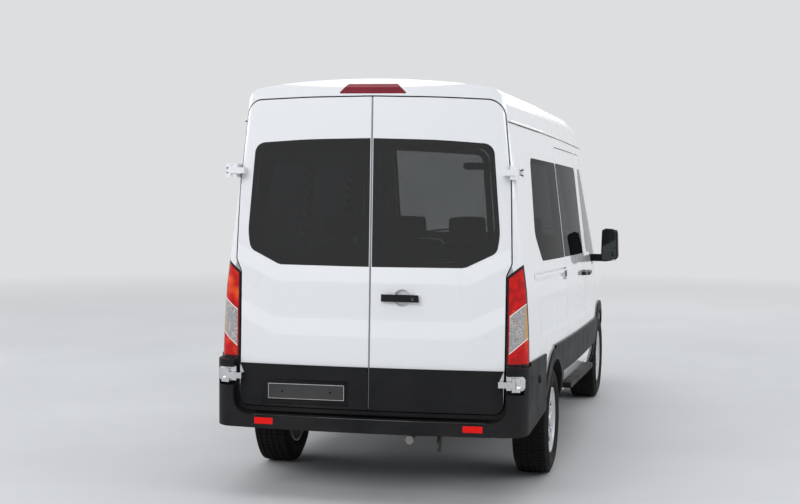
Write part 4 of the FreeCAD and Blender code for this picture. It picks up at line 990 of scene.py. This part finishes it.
# %% Blank plate in its holder
tray = cube("plate_tray", (-2.6935, .150, .6065), (-2.6825, .634, .7055))
pushed(tray, REARWARD, (.006, .003, 0, 0))
finished(beveled(tray, .0012), "gloss_black", "door_rear_left")
rim = cube("plate_rim", (-2.6945, .1535, .6100), (-2.6910, .6305, .7020))
opened(rim, .0022, lambda p, n: abs(n.x) > FACING)
finished(thick(rim, .0004, 0), "bright_metal", "door_rear_left")
screws = []
for y in (.242, .542):
    screw = drum("screw", (-2.6925, y, .656), (1, 0, 0), .0065, .004, 20)
    pushed(screw, REARWARD, (.0015, -.0012, 0, 0))
    screws.append(beveled(screw, .0005, 1))
finished(joined("plate_screws", screws), "black_plastic", "door_rear_left")

# %% [markdown]
# The rear door's handle is a black pull over a round cup. The solid has the pull and the cup, and
# only the lock's barrel is added: a short drum whose end is inset and pushed in.

# %% Lock barrel
lock = drum("lock_barrel", (tail_x(HANDLE_Z) - .026, -.268, HANDLE_Z), (1, 0, 0), .011, .010, 24)
pushed(lock, REARWARD, (.003, .0015, 0, 0))
finished(beveled(lock, .0006), "gloss_black", "door_rear_right")

# %% [markdown]
# Bumper details. The step carries moulded ribs, so that a shoe grips: one rib, repeated in a row.
# A light grey strip along the step's front edge is a painted highlight. Two red reflectors and four
# round parking sensors sit in its face, and a seam shows where the corner pieces meet the middle.
# A dark sheet below the doors is painted shade in the gap behind the step.

# %% Ribs, reflectors, sensors and seams of the rear bumper
def on_bumper(piece, offset=0.0, side=1):
    """Lay a piece that was drawn at x = 0 on the bumper's rounded face, on one side."""
    return bent(piece, lambda p: (p.x + X_TAIL + p.y * p.y / 18.0 + offset, p.y * side, p.z))


rib = cube("step_ribs", (X_TAIL + .0085, -.700, .5115), (X_TAIL + .060, -.692, .5145))
beveled(rib, .001, 1)
modified(rib, "ARRAY", count=78, use_relative_offset=False, use_constant_offset=True,
         constant_offset_displace=(0, .018, 0))
finished(rib, "charcoal_plastic")
# painted highlight: a light grey strip along the front edge of the bumper step
step_highlight = slices(cube("step_edge_highlight", (.0035, -.715, .5085), (.0085, .715, .5130)), 1, -.715, .715, 24)
finished(beveled(on_bumper(step_highlight), .0015), "split_rubber")
for side, tag in SIDES:
    glass = cube("reflector_" + tag, (.0, .587, .4555), (.010, .707, .4975))
    pushed(glass, REARWARD, (.004, -.0015, 0, 0))
    finished(beveled(on_bumper(glass, .0005, side), .001), "lamp_red")
for i, (y, z) in enumerate(((.80, .478), (.30, .480), (-.258, .480), (-.79, .478))):
    sensor = drum("parking_sensor_%d" % i, (X_TAIL + y * y / 18.0 + .003, y, z), (1, 0, 0), .0125, .008, 28)
    pushed(sensor, REARWARD, (.0022, .0012, 0, 0), (.0012, -.0016, 0, 0))
    finished(beveled(sensor, .0004, 1), "charcoal_plastic")
# painted shade: a black sheet that darkens the gap under the rear doors
shade_sheet = slices(cube("rear_apron", (-2.640, -.92, .440), (-2.632, .92, .556)), 1, -.92, .92, 16)
pick(shade_sheet, "VERT", lambda p, n: p.z < .45)
bpy.ops.transform.translate(value=(.020, 0, 0))
leave()
finished(beveled(shade_sheet, .001, 1), "black_steel")
for side, tag in SIDES:
    seam = slices(cube("bumper_seam_" + tag, (.0, .768, .432), (.0012, .7705, .511)), 2, .432, .511, 3)
    finished(on_bumper(seam, -.0006, side), "seal_rubber")

# %% [markdown]
# Hinges. The upper pair are white castings in the solids and get two small black blocks each,
# painted shade that stands for their slots. The lower pair are bare metal plates over the bumper's
# corner, each with a raised middle and two bolts.

# %% Hinge plates
for side, tag in SIDES:
    x = tail_x(.75, .88) - .034
    plate = cube("hinge_plate", (x - .006, .838, .708), (x, .952, .798))
    pick(plate, "EDGE", lambda p, d: abs(d.x) > .9 and p.y > .94)
    bpy.ops.mesh.bevel(offset=.028, segments=6)
    leave()
    pushed(plate, REARWARD, (.006, 0, 0, 0), (.010, -.003, 0, 0))
    parts = [beveled(plate, .0015)]
    for y, z in ((.934, .736), (.934, .770)):
        bolt = drum("bolt", (x - .007, y, z), (1, 0, 0), .0075, .006, 6)
        parts.append(beveled(bolt, .001, 1))
    plate = joined("hinge_plate_" + tag, parts)
    if side < 0:
        plate.data.transform(MIRROR_Y)
    finished(plate, "bright_metal")
    slot_shades = []
    # painted shade: small black blocks that stand for the slots of the upper hinges
    for dy, dz in ((.905, 1.985), (.905, 2.020)):
        slot_shades.append(beveled(cube("slot", (tail_x(dz, dy) - .0365, dy - .004, dz - .011),
                                  (tail_x(dz, dy) - .0335, dy + .014, dz + .003)), .001, 1))
    slot = joined("hinge_slots_" + tag, slot_shades)
    if side < 0:
        slot.data.transform(MIRROR_Y)
    finished(slot, "gloss_black")
print("rear pieces so far:", len(made))

# %% [markdown]
# The sides. A gutter runs below the roof: a rolled bead with a shadow line under it. The sliding
# door's rail has a painted cover, and a rubber mat with long ribs lies on the step.

# %% Gutters, rail cover and step mat
def sloped(base, fall, start):
    """Height along a line that falls towards the nose."""
    return lambda x: base - fall * (x - start)


def side_strip(name, z_at, low, high, proud, finish, side, round_to=.0006):
    """Bar under the roof's edge whose height follows a sloping line."""
    x0, x1 = -2.56, 1.02
    strip = slices(cube(name, (x0, 0, low), (x1, proud, high)), 0, x0, x1, 28)
    bent(strip, lambda p: (p.x, p.y, p.z + z_at(p.x)))
    finished(beveled(on_side(strip, .0002, side), round_to, 1), finish)


gutter_z = sloped(2.2835, .047, -2.25)
for side, tag in SIDES:
    side_strip("gutter_bead_" + tag, gutter_z, .004, .016, .0042, "white_paint", side, .0018)
    side_strip("gutter_shadow_" + tag, gutter_z, .0, .004, .0008, "seal_rubber", side)
rail_z = sloped(1.335, .042, -1.9)
rail = slices(cube("door_rail", (-2.235, -.0005, -.014), (-.86, .0045, .012)), 0, -2.235, -.86, 12)
bent(rail, lambda p: (p.x, p.y, p.z + rail_z(p.x)))
bent(rail, lambda p: (p.x, p.y - side_y(p.x, p.z), p.z))
finished(beveled(rail, .001), "white_paint")
mats = []
for i in range(5):
    y = -1.040 + i * .022
    mat_rib = slices(cube("mat_rib", (-1.235, y, .0), (.485, y + .010, .0035)), 0, -1.2, .48, 2)
    mats.append(beveled(mat_rib, .0012, 1))
mat = joined("step_mat", mats)
low_box, high_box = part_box("side_step")
first_x, last_x = low_box.x + .02, high_box.x - .02
bent(mat, lambda p: (min(max(p.x, first_x), last_x), p.y, p.z + line_z(.590, p.x) - .0015))
finished(mat, "seal_rubber")

# %% [markdown]
# Door mirrors. The head is a rounded shell, and the glass is set back in it by a dark rim. A lower
# wide-angle glass is separate. Each glass is an outline whose corners are rounded, then pulled out.

# %% Mirror glasses
def mirror_glass(name, corners, radii, gap, depth, finish):
    """Pane on the rear face of the right mirror head."""
    pane = round_corners(outline(name, [(0, y, z) for y, z in corners]), radii, 6)
    bent(pane, lambda p: (1.0745 + (p.z - 1.210) * .0325 - gap, p.y, p.z))
    extruded(pane, (-depth, 0, 0))
    return finished(beveled(pane, .0006, 1), finish, "door_front_right")


mirror_glass("mirror_rim_right", [(-1.178, 1.236), (-1.062, 1.222), (-1.066, 1.488), (-1.170, 1.482)],
             (.03, .02, .025, .03), -.0030, .0045, "gloss_black")
# the mirror panes are nearly black: painted dark reflection
mirror_glass("mirror_glass_right", [(-1.170, 1.318), (-1.070, 1.316), (-1.073, 1.480), (-1.163, 1.475)],
             (.012, .012, .02, .025), .0012, .0016, "mirror_glass")
mirror_glass("mirror_wide_right", [(-1.171, 1.243), (-1.069, 1.231), (-1.070, 1.308), (-1.170, 1.310)],
             (.022, .016, .01, .01), .0012, .0016, "mirror_glass")
mirror_glass("mirror_trim_right", [(-1.1795, 1.228), (-1.140, 1.222), (-1.140, 1.229), (-1.1735, 1.236)],
             (.002, .001, .001, .002), .0010, .0020, "bright_metal")
for piece in made[-4:]:
    copied(piece, piece.name.replace("right", "left"), MIRROR_Y, "door_front_left")

# %% [markdown]
# A round rubber buffer on each side, behind the rear wheel, stops the opened rear door. It is a
# drum whose end is raised in a ring.

# %% Door buffers
for side, tag in SIDES:
    knob = drum("door_buffer_" + tag, (-2.455, side * 1.0095, .752), (0, side, 0), .026, .016, 28)
    pushed(knob, faces(1, side), (.006, 0, side * .004, 0), (.006, 0, side * -.002, 0))
    finished(beveled(knob, .002), "seal_rubber")
print("pieces:", len(made))

# %% [markdown]
# The front. Places on the curved nose are found by casting a ray at the solid, as one would snap a
# cursor to a surface. Each headlamp gets three bowls spun from one profile, behind its clear lens,
# and the faces at the lens's back are black. The fog lamps and the blank plate lie on the bumper.

# %% Headlamps, fog lamps and front plate
def surface(node, origin, direction):
    """Where a ray meets a CAD node, and the normal there."""
    hit, place, normal = nodes[node].ray_cast(Vector(origin), Vector(direction).normalized())[:3]
    return (place, normal) if hit else (None, None)


def bowl(name, centre, axis, radius, depth):
    """Reflector bowl with a bulb, open along the axis."""
    shell = spun(name, [(radius, 0), (radius * .96, -.002), (radius * .7, -depth * .75),
                        (radius * .2, -depth), (.001, -depth), (.001, -depth - .002),
                        (radius * .75, -depth * .8), (radius * 1.06, -.001)], (0, 0, 0), 28)
    bulb = drum("bulb", (0, -depth * .6, 0), (0, 1, 0), radius * .20, depth * .55, 16)
    pushed(bulb, LEFTWARD, (radius * .08, 0, depth * .12, 0))
    shell = joined(name, [shell, beveled(bulb, .0008, 1)])
    shell.data.transform(aimed(centre, axis))
    return shell


repaint("headlamps", "gloss_black", lambda p, n: n.x < .15)
BOWLS = ((-.655, .875, .050, "mirror_silver"), (-.770, .905, .042, "mirror_silver"),
         (-.600, .945, .020, "amber"))
for i, (y, z, radius, finish) in enumerate(BOWLS):
    place, normal = surface("headlamps", (4.0, y, z), (-1, 0, 0))
    print("headlamp bowl", i, place and [round(v, 3) for v in place])
    if place:
        lamp_bowl = bowl("lamp_bowl_right_%d" % i, place - normal * .006, normal, radius, .024)
        finished(lamp_bowl, finish)
        copied(lamp_bowl, "lamp_bowl_left_%d" % i, MIRROR_Y)
place, normal = surface("front_bumper", (4.0, -.64, .50), (-1, 0, 0))
fog = spun("fog_lamp_right", [(.044, .002), (.046, .008), (.056, .008), (.058, .0), (.058, -.006),
                              (.040, -.006)], (0, 0, 0), 32)
lens = drum("fog_glass_right", (0, .0, 0), (0, 1, 0), .0425, .006, 32)
pushed(lens, LEFTWARD, (.014, 0, .003, 0))
fog.data.transform(aimed(place, normal))
lens.data.transform(aimed(place, normal))
finished(beveled(fog, .001, 1), "gloss_black")
finished(beveled(lens, .001, 1), "lamp_clear_face")
copied(fog, "fog_lamp_left", MIRROR_Y)
copied(lens, "fog_glass_left", MIRROR_Y)
place = surface("front_bumper", (4.0, 0, .67), (-1, 0, 0))[0]
print("front plate at", [round(v, 3) for v in place])
blank = cube("front_plate", (place.x - .001, -.26, .625), (place.x + .004, .26, .720))
pushed(blank, FORWARD, (.006, -.0015, 0, 0))
finished(beveled(blank, .001), "black_plastic")

# %% [markdown]
# The windscreen has a baked black border that hides its glue. It starts as a flat ring: a rounded
# outline whose face is inset and deleted. The ring is sliced finely and every point is then
# dropped along the bus onto the curved glass. A point that misses the glass is tried again a
# little nearer to its middle.

# %% Windscreen border
SCREEN = [(3.0, -.792, 1.352), (3.0, .792, 1.352), (3.0, .698, 2.218), (3.0, -.698, 2.218)]
SCREEN_MID = 1.78
border = round_corners(outline("screen_border", SCREEN), [.05, .05, .07, .07], 8)
opened(border, .050)
slices(border, 1, -.79, .79, 32)
slices(border, 2, 1.352, 2.218, 24)
for vertex in border.data.vertices:
    for nearer in (1.0, .99, .98, .97, .96):
        z = SCREEN_MID + (vertex.co.z - SCREEN_MID) * nearer
        place, normal = surface("fixed_glass", (4.0, vertex.co.y * nearer, z), (-1, 0, 0))
        if place:
            vertex.co = place + normal * .0006
            break
finished(thick(border, .0006, 1), "gloss_black")
print("screen border:", len(border.data.vertices), "points")

# %% [markdown]
# Wipers. Each has a cap on its spindle, an arm that tapers to the blade, and the blade with its
# rubber lip. The arm is a bar whose far end is scaled down in edit mode.

# %% Wipers
for i, (y0, y1) in enumerate(((.62, -.02), (-.10, -.66))):
    foot, foot_n = surface("fixed_glass", (4.0, y0, 1.385), (-1, 0, 0))
    tip, tip_n = surface("fixed_glass", (4.0, y1, 1.46), (-1, 0, 0))
    print("wiper", i, foot and [round(v, 3) for v in foot], tip and [round(v, 3) for v in tip])
    if not (foot and tip):
        continue
    foot, tip = foot + foot_n * .014, tip + tip_n * .012
    run = tip - foot
    turn = Matrix((run.normalized(), foot_n.cross(run).normalized(), foot_n)).transposed().to_4x4()
    arm = cube("wiper_arm_%d" % i, (0, -.010, -.004), (run.length, .010, .004))
    scaled(arm, FORWARD, 1, .35, .6)
    blade = cube("blade", (run.length * .25, -.004, -.010), (run.length * 1.12, .004, -.002))
    slices(blade, 0, run.length * .25, run.length * 1.12, 6)
    arm = joined("wiper_arm_%d" % i, [beveled(arm, .002), beveled(blade, .0015),
                                      beveled(drum("cap", (0, 0, 0), (0, 0, 1), .016, .016, 20), .004)])
    arm.data.transform(Matrix.Translation(foot) @ turn)
    finished(arm, "black_plastic")
print("front pieces done:", len(made))

# %% [markdown]
# Seats. Each place has a padded cushion, a padded back and a headrest. A pad starts as an outline of
# its section that is pulled across, remeshed to small even faces, and blown up a little as cloth
# under pressure. No point may move more than the cap. Sewn channels come after that, as rows of
# points drawn inwards. One set of pads is made and copied to every place at its width.

# %% One set of pads
def pad(name, section, radii, half_width, cap):
    """Crowned pad from a section of (x, z) points."""
    form = slab(name, [(x, -half_width, z) for x, z in section], radii, (0, 2 * half_width, 0), 5)
    pick(form, "FACE")
    bpy.ops.mesh.normals_make_consistent(inside=False)
    leave()
    beveled(form, .022, 3, 50)
    modified(form, "REMESH", mode="VOXEL", voxel_size=.017)
    start = [v.co.copy() for v in form.data.vertices]
    cloth = form.modifiers.new("swell", "CLOTH")
    cloth.settings.use_pressure = True
    cloth.settings.uniform_pressure_force = 1.0
    cloth.settings.effector_weights.gravity = 0.0
    cloth.settings.tension_stiffness = 12.0
    cloth.collision_settings.use_collision = False
    for step in range(1, 21):
        scene.frame_set(step)
    only(form)
    bpy.ops.object.modifier_apply(modifier="swell")
    scene.frame_set(1)
    most = 0.0
    for vertex, before in zip(form.data.vertices, start):
        move = vertex.co - before
        most = max(most, move.length)
        if move.length > cap:
            vertex.co = before + move * (cap / move.length)
    print(name, "swelled", round(most * 1000), "mm, capped at", round(cap * 1000))
    return form


def sewn(form, rows, facing, depth=.007):
    """Draw rows of points at some y inwards, as a seam pulls the cloth down."""
    for at in rows:
        pick(form, "VERT", lambda p, n: abs(p.y - at) < .0085 and n.dot(facing) > .35)
        bpy.ops.transform.translate(value=tuple(-facing * depth))
        leave()
    return modified(form, "SUBSURF", levels=1, render_levels=1)


cushion = pad("cushion", [(.012, .302), (.488, .312), (.488, .405), (.100, .388), (.012, .388)],
              [.02, .03, .045, 0, .02], .205, .018)
cushion = sewn(cushion, (-.115, .115), Vector((0, 0, 1)))
back = pad("back", [(.030, .405), (.122, .405), (-.020, .948), (-.104, .948)],
           [.02, .02, .035, .03], .198, .018)
back = sewn(back, (-.11, .11), Vector((.97, 0, .24)))
rest = pad("rest", [(-.106, .994), (-.040, .994), (-.066, 1.138), (-.122, 1.138)],
           [.02, .02, .028, .028], .115, .012)
rest = sewn(rest, (), Vector((1, 0, 0)))

# %% [markdown]
# Each seat is then put together: the pads of its places at the right width, in one fabric piece
# that stands for the solid, and below and behind them the hard parts, which are the plinth, the
# headrest posts and a plastic shell at the back.

# %% Seats in their places
# solid, x of the cushion's rear edge, from y, to y, places
SEATS = [("driver_seat", .430, .160, .700, 1), ("passenger_seat", .430, -.760, .120, 2),
         ("bench_middle", -.640, -.470, .790, 3), ("bench_rear", -1.640, -.630, .630, 3)]
PAD_WIDTH = .42


def floor_z(x):
    """Height of the cabin floor."""
    return line_z(.600, x)


for name, x, y0, y1, places in SEATS:
    base = floor_z(x + .25)
    width = (y1 - y0) / places
    pads, hard = [], []
    for i in range(places):
        middle = y0 + (i + .5) * width
        stretch = width / PAD_WIDTH
        for form, factor in ((cushion, stretch), (back, stretch), (rest, 1.0)):
            twin = duplicate(form)
            size = Matrix.Diagonal((1, factor * .985, 1, 1))
            twin.data.transform(Matrix.Translation((x, middle, base)) @ size)
            pads.append(twin)
        for side in (-1, 1):
            post = drum("post", (x - .075, middle + side * .045, base + .968), (-.12, 0, 1), .0065, .075, 12)
            hard.append(beveled(post, .001, 1))
        reach = width / 2 - .02
        shell = cube("shell", (x - .008, middle - reach, base + .42), (x + .004, middle + reach, base + .90))
        bent(shell, lambda p: (p.x - (p.z - base - .42) * .245 + .012, p.y, p.z))
        hard.append(beveled(shell, .004))
    fabric_piece = finished(joined(name + "_pads", pads), "seat_fabric", angle=60)
    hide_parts(name)
    plinth = cube("plinth", (x + .06, y0 + .06, base - .005), (x + .40, y1 - .06, base + .296))
    for vertex in plinth.data.vertices:
        if vertex.co.z < base + .1:
            vertex.co.z = floor_z(vertex.co.x) + .0012
    pick(plinth, "FACE", lambda p, n: abs(n.y) > FACING or n.x > FACING)
    bpy.ops.mesh.inset(thickness=.03, use_individual=True)
    bpy.ops.transform.shrink_fatten(value=-.008)
    leave()
    hard.append(beveled(plinth, .004))
    for y in (y0 + .03, y1 - .03):
        lever = cube("side_cover", (x + .05, y - .012, base + .285), (x + .44, y + .012, base + .335))
        hard.append(beveled(lever, .008))
    finished(joined(name + "_frame", hard), "cabin_plastic")
    print(name, "pads", len(pads), "triangles about", 2 * len(fabric_piece.data.polygons))
for form in (cushion, back, rest):
    bpy.data.objects.remove(form)

# %% [markdown]
# The cabin. Through the windscreen one sees the dashboard with its vents, the hooded instruments,
# the radio, the gear lever and the pedals, and the wheel's pad and stalks. Each one starts as a bar,
# a drum or an outline and is inset, pushed or scaled in edit mode.

# %% Dashboard, wheel pad, levers and pedals
def panel(name, low, high, rim, sink, finish):
    """Block whose rear face is inset and pushed in, as a framed panel."""
    form = pushed(cube(name, low, high), REARWARD, (rim, sink, 0, 0))
    finished(beveled(form, .003), finish)


def dash_x(y, z):
    """Where the dashboard's rear face is."""
    place = surface("dashboard", (0, y, z), (1, 0, 0))[0]
    print("dashboard at", (y, z), place and round(place.x, 3))
    return place.x if place else 1.13


for i, y in enumerate((.78, .0, -.10, -.78)):
    x = dash_x(y, 1.19)
    panel("vent_%d" % i, (x - .008, y - .045, 1.155), (x + .006, y + .045, 1.225), .006, .006, "gloss_black")
    for row in range(4):
        z = 1.170 + .0135 * row
        slat = cube("vent_slat_%d_%d" % (i, row), (x - .006, y - .036, z - .0016),
                    (x + .001, y + .036, z + .0016))
        slices(slat, 1, y - .036, y + .036, 2)
        finished(beveled(slat, .0008, 1), "cabin_plastic")
x = dash_x(.42, 1.21)
hood = slab("instrument_hood", [(x - .06, .26, 1.315), (x - .06, .58, 1.315), (x - .06, .55, 1.375),
                                (x - .06, .29, 1.375)], [.01, .01, .04, .04], (.14, 0, 0))
pushed(hood, REARWARD, (.008, .03, 0, 0))
finished(beveled(hood, .002), "cabin_plastic")
for i, y in enumerate((.345, .495)):
    dial = spun("dial_%d" % i, [(.002, 0), (.030, .0), (.036, .004), (.040, .010), (.043, .010),
                                (.043, -.004)], (0, 0, 0), 32)
    dial.data.transform(aimed((x - .012, y, 1.245), (-1, 0, .1)))
    finished(dial, "gloss_black")
x = dash_x(-.05, 1.05)
panel("radio", (x - .010, -.15, 1.005), (x + .02, .05, 1.115), .010, .004, "gloss_black")
x = dash_x(-.05, .93)
panel("heater_panel", (x - .010, -.14, .895), (x + .02, .04, .965), .006, .003, "cabin_plastic")
for i, y in enumerate((-.11, -.05, .01)):
    knob = drum("heater_knob_%d" % i, (x - .016, y, .930), (-1, 0, 0), .016, .020, 24)
    scaled(knob, REARWARD, 1, .8, .8)
    pushed(knob, REARWARD, (.003, .002, 0, 0))
    finished(beveled(knob, .001, 1), "black_plastic")
glove_x = dash_x(-.5, 1.1)
panel("glovebox_lid", (glove_x - .006, -.72, 1.00), (glove_x + .02, -.26, 1.14), .010, .0015, "cabin_plastic")
lean = (-.5, 0, 1)
lever = joined("gear_lever", [
    drum("stick", (x - .06, .12, .93), lean, .007, .16, 16),
    beveled(drum("knob", (x - .098, .12, 1.010), lean, .022, .045, 24), .010, 3),
    beveled(drum("boot", (x - .02, .12, .870), lean, .045, .06, 24), .014, 2)])
finished(lever, "black_plastic")
STEERING_LEAN = math.radians(62)
hub = Vector((1.000, .420, 1.115))
airbag = slab("wheel_pad", [(-.075, -.065, .022), (.075, -.065, .022), (.085, .045, .022),
                            (-.085, .045, .022)], [.03] * 4, (0, 0, .016))
airbag.data.transform(aimed(hub, (-math.sin(STEERING_LEAN), 0, math.cos(STEERING_LEAN)), "Z", "Y"))
finished(beveled(airbag, .005, 3), "black_plastic")
for side, tag in SIDES:
    stalk = cube("stalk_" + tag, hub + Vector((.045, side * .04, .015)),
                 hub + Vector((.060, side * .175, .030)))
    scaled(stalk, faces(1, side), 1.6, 1, 1.3)
    finished(beveled(stalk, .004), "black_plastic")
toe = floor_z(1.2)
for i, y in enumerate((.30, .40, .50)):
    pedal = cube("pedal_%d" % i, (1.16, y - .03, toe + .10), (1.175, y + .03, toe + .19))
    slices(pedal, 2, toe + .10, toe + .19, 6)
    pick(pedal, "FACE", REARWARD)
    bpy.ops.mesh.inset(thickness=.003, use_individual=True)
    bpy.ops.transform.translate(value=(.002, 0, 0))
    leave()
    arm = cube("arm", (1.17, y - .008, toe + .15), (1.19, y + .008, toe + .36))
    finished(joined("pedal_%d" % i, [beveled(pedal, .001, 1), beveled(arm, .003)]), "black_steel")
print("dashboard pieces done:", len(made))

# %% [markdown]
# At the windscreen's top are the mirror on its stem and two visors, and on the pillars hang the
# belts. A belt is a thin strap, cut along its length so that it can follow the pillar.

# %% Mirror, visors and belts
place = surface("fixed_glass", (1.0, .0, 2.02), (1, 0, 0))[0]
print("windscreen inside at", place and [round(v, 3) for v in place])
if place:
    x = place.x - .085
    inner = slab("inner_mirror", [(x, -.115, 1.955), (x, .115, 1.955), (x, .120, 2.015),
                                  (x, -.120, 2.015)], [.022] * 4, (.026, 0, 0))
    finished(beveled(inner, .006), "black_plastic")
    stem = drum("mirror_stem", (x + .045, 0, 2.005), (1, 0, .5), .008, .075, 16)
    finished(beveled(stem, .002, 1), "black_plastic")
    front = x - .0012
    face = slab("inner_mirror_glass", [(front, -.108, 1.961), (front, .108, 1.961), (front, .112, 2.009),
                                       (front, -.112, 2.009)], [.018] * 4, (.0008, 0, 0))
    # the inner mirror's glass is nearly black: painted dark reflection
    finished(face, "mirror_glass")
    for side, tag in SIDES:
        y0, y1 = side * .44 - .21, side * .44 + .21
        visor = slab("visor_" + tag, [(x - .23, y0, 2.20), (x - .06, y0, 2.155), (x - .06, y1, 2.155),
                                      (x - .23, y1, 2.20)], [.03] * 4, (0, 0, .016), 5)
        finished(beveled(visor, .004), "cabin_lining")
for side, tag in SIDES:
    y = side * .875
    strap = cube("belt_" + tag, (.385, y - .0012, 1.05), (.430, y + .0012, 1.98))
    slices(strap, 2, 1.05, 1.98, 16)
    bent(strap, lambda p: (p.x + .02 * math.sin((p.z - 1.05) * 3.0),
                           p.y - side * max(0.0, p.z - 1.45) * .16, p.z))
    finished(strap, "seal_rubber")
    anchor = drum("belt_anchor_" + tag, (.405, y - side * .085, 1.985), (0, 1, 0), .020, .018, 24)
    finished(beveled(anchor, .004), "black_plastic")

# %% [markdown]
# The doors' inner sides show when they stand open. The front doors have an armrest, a pocket and a
# pull handle, all riding on the door. The rear doors have a pressed lining board and a strap to
# pull them shut.

# %% Door linings
def on_door(name, y, side, depth, x1, z0, z1):
    """Block on the inner face of a front door, set a little into it."""
    low, high = sorted((y + side * .004, y - side * depth))
    return cube(name, (.56, low, z0), (x1, high, z1))


for side, tag in SIDES:
    door = "door_front_" + tag
    y = surface(door, (.72, 0, 1.00), (0, side, 0))[0].y
    print(door, "inner face at", round(y, 3))
    rest = on_door("armrest_" + tag, y, side, .055, 1.02, .985, 1.035)
    scaled(rest, faces(1, -side), .9, 1, .6)
    finished(beveled(rest, .008, 3), "black_plastic", door)
    pocket = on_door("door_pocket_" + tag, y, side, .050, 1.06, .70, .80)
    pushed(pocket, UPWARD, (.006, 0, 0, -.07))
    finished(beveled(pocket, .003), "cabin_plastic", door)
    pull = [beveled(drum("pull", (.90, y - side * .024, 1.13), (1, 0, 0), .008, .11, 16), .003)]
    for x in (.855, .945):
        foot = drum("foot", (x, y - side * .010, 1.13), (0, 1, 0), .009, .030, 16)
        pull.append(beveled(foot, .002))
    finished(joined("door_pull_" + tag, pull), "black_plastic", door)
    door = "door_rear_" + tag
    x = surface(door, (-1.5, side * .40, 1.00), (-1, 0, 0))[0].x
    corners = [(x - .001, side * y, z) for y, z in ((.10, .68), (.70, .68), (.70, 1.24), (.10, 1.24))]
    board = slab("door_board_" + tag, corners, [.05] * 4, (.004, 0, 0))
    pushed(board, lambda p, n: abs(n.x) > FACING and p.x > x + .002, (.030, .003, 0, 0))
    finished(beveled(board, .0012), "cabin_plastic", door)
    middle = side * .40
    strap = cube("pull_strap_" + tag, (x + .006, middle - .09, .90), (x + .009, middle + .09, .925))
    slices(strap, 1, middle - .09, middle + .09, 12)
    bent(strap, lambda p: (p.x + .022 * math.cos((p.y - middle) / .18 * math.pi), p.y, p.z))
    finished(strap, "seal_rubber", door)
print("cabin pieces done:", len(made))
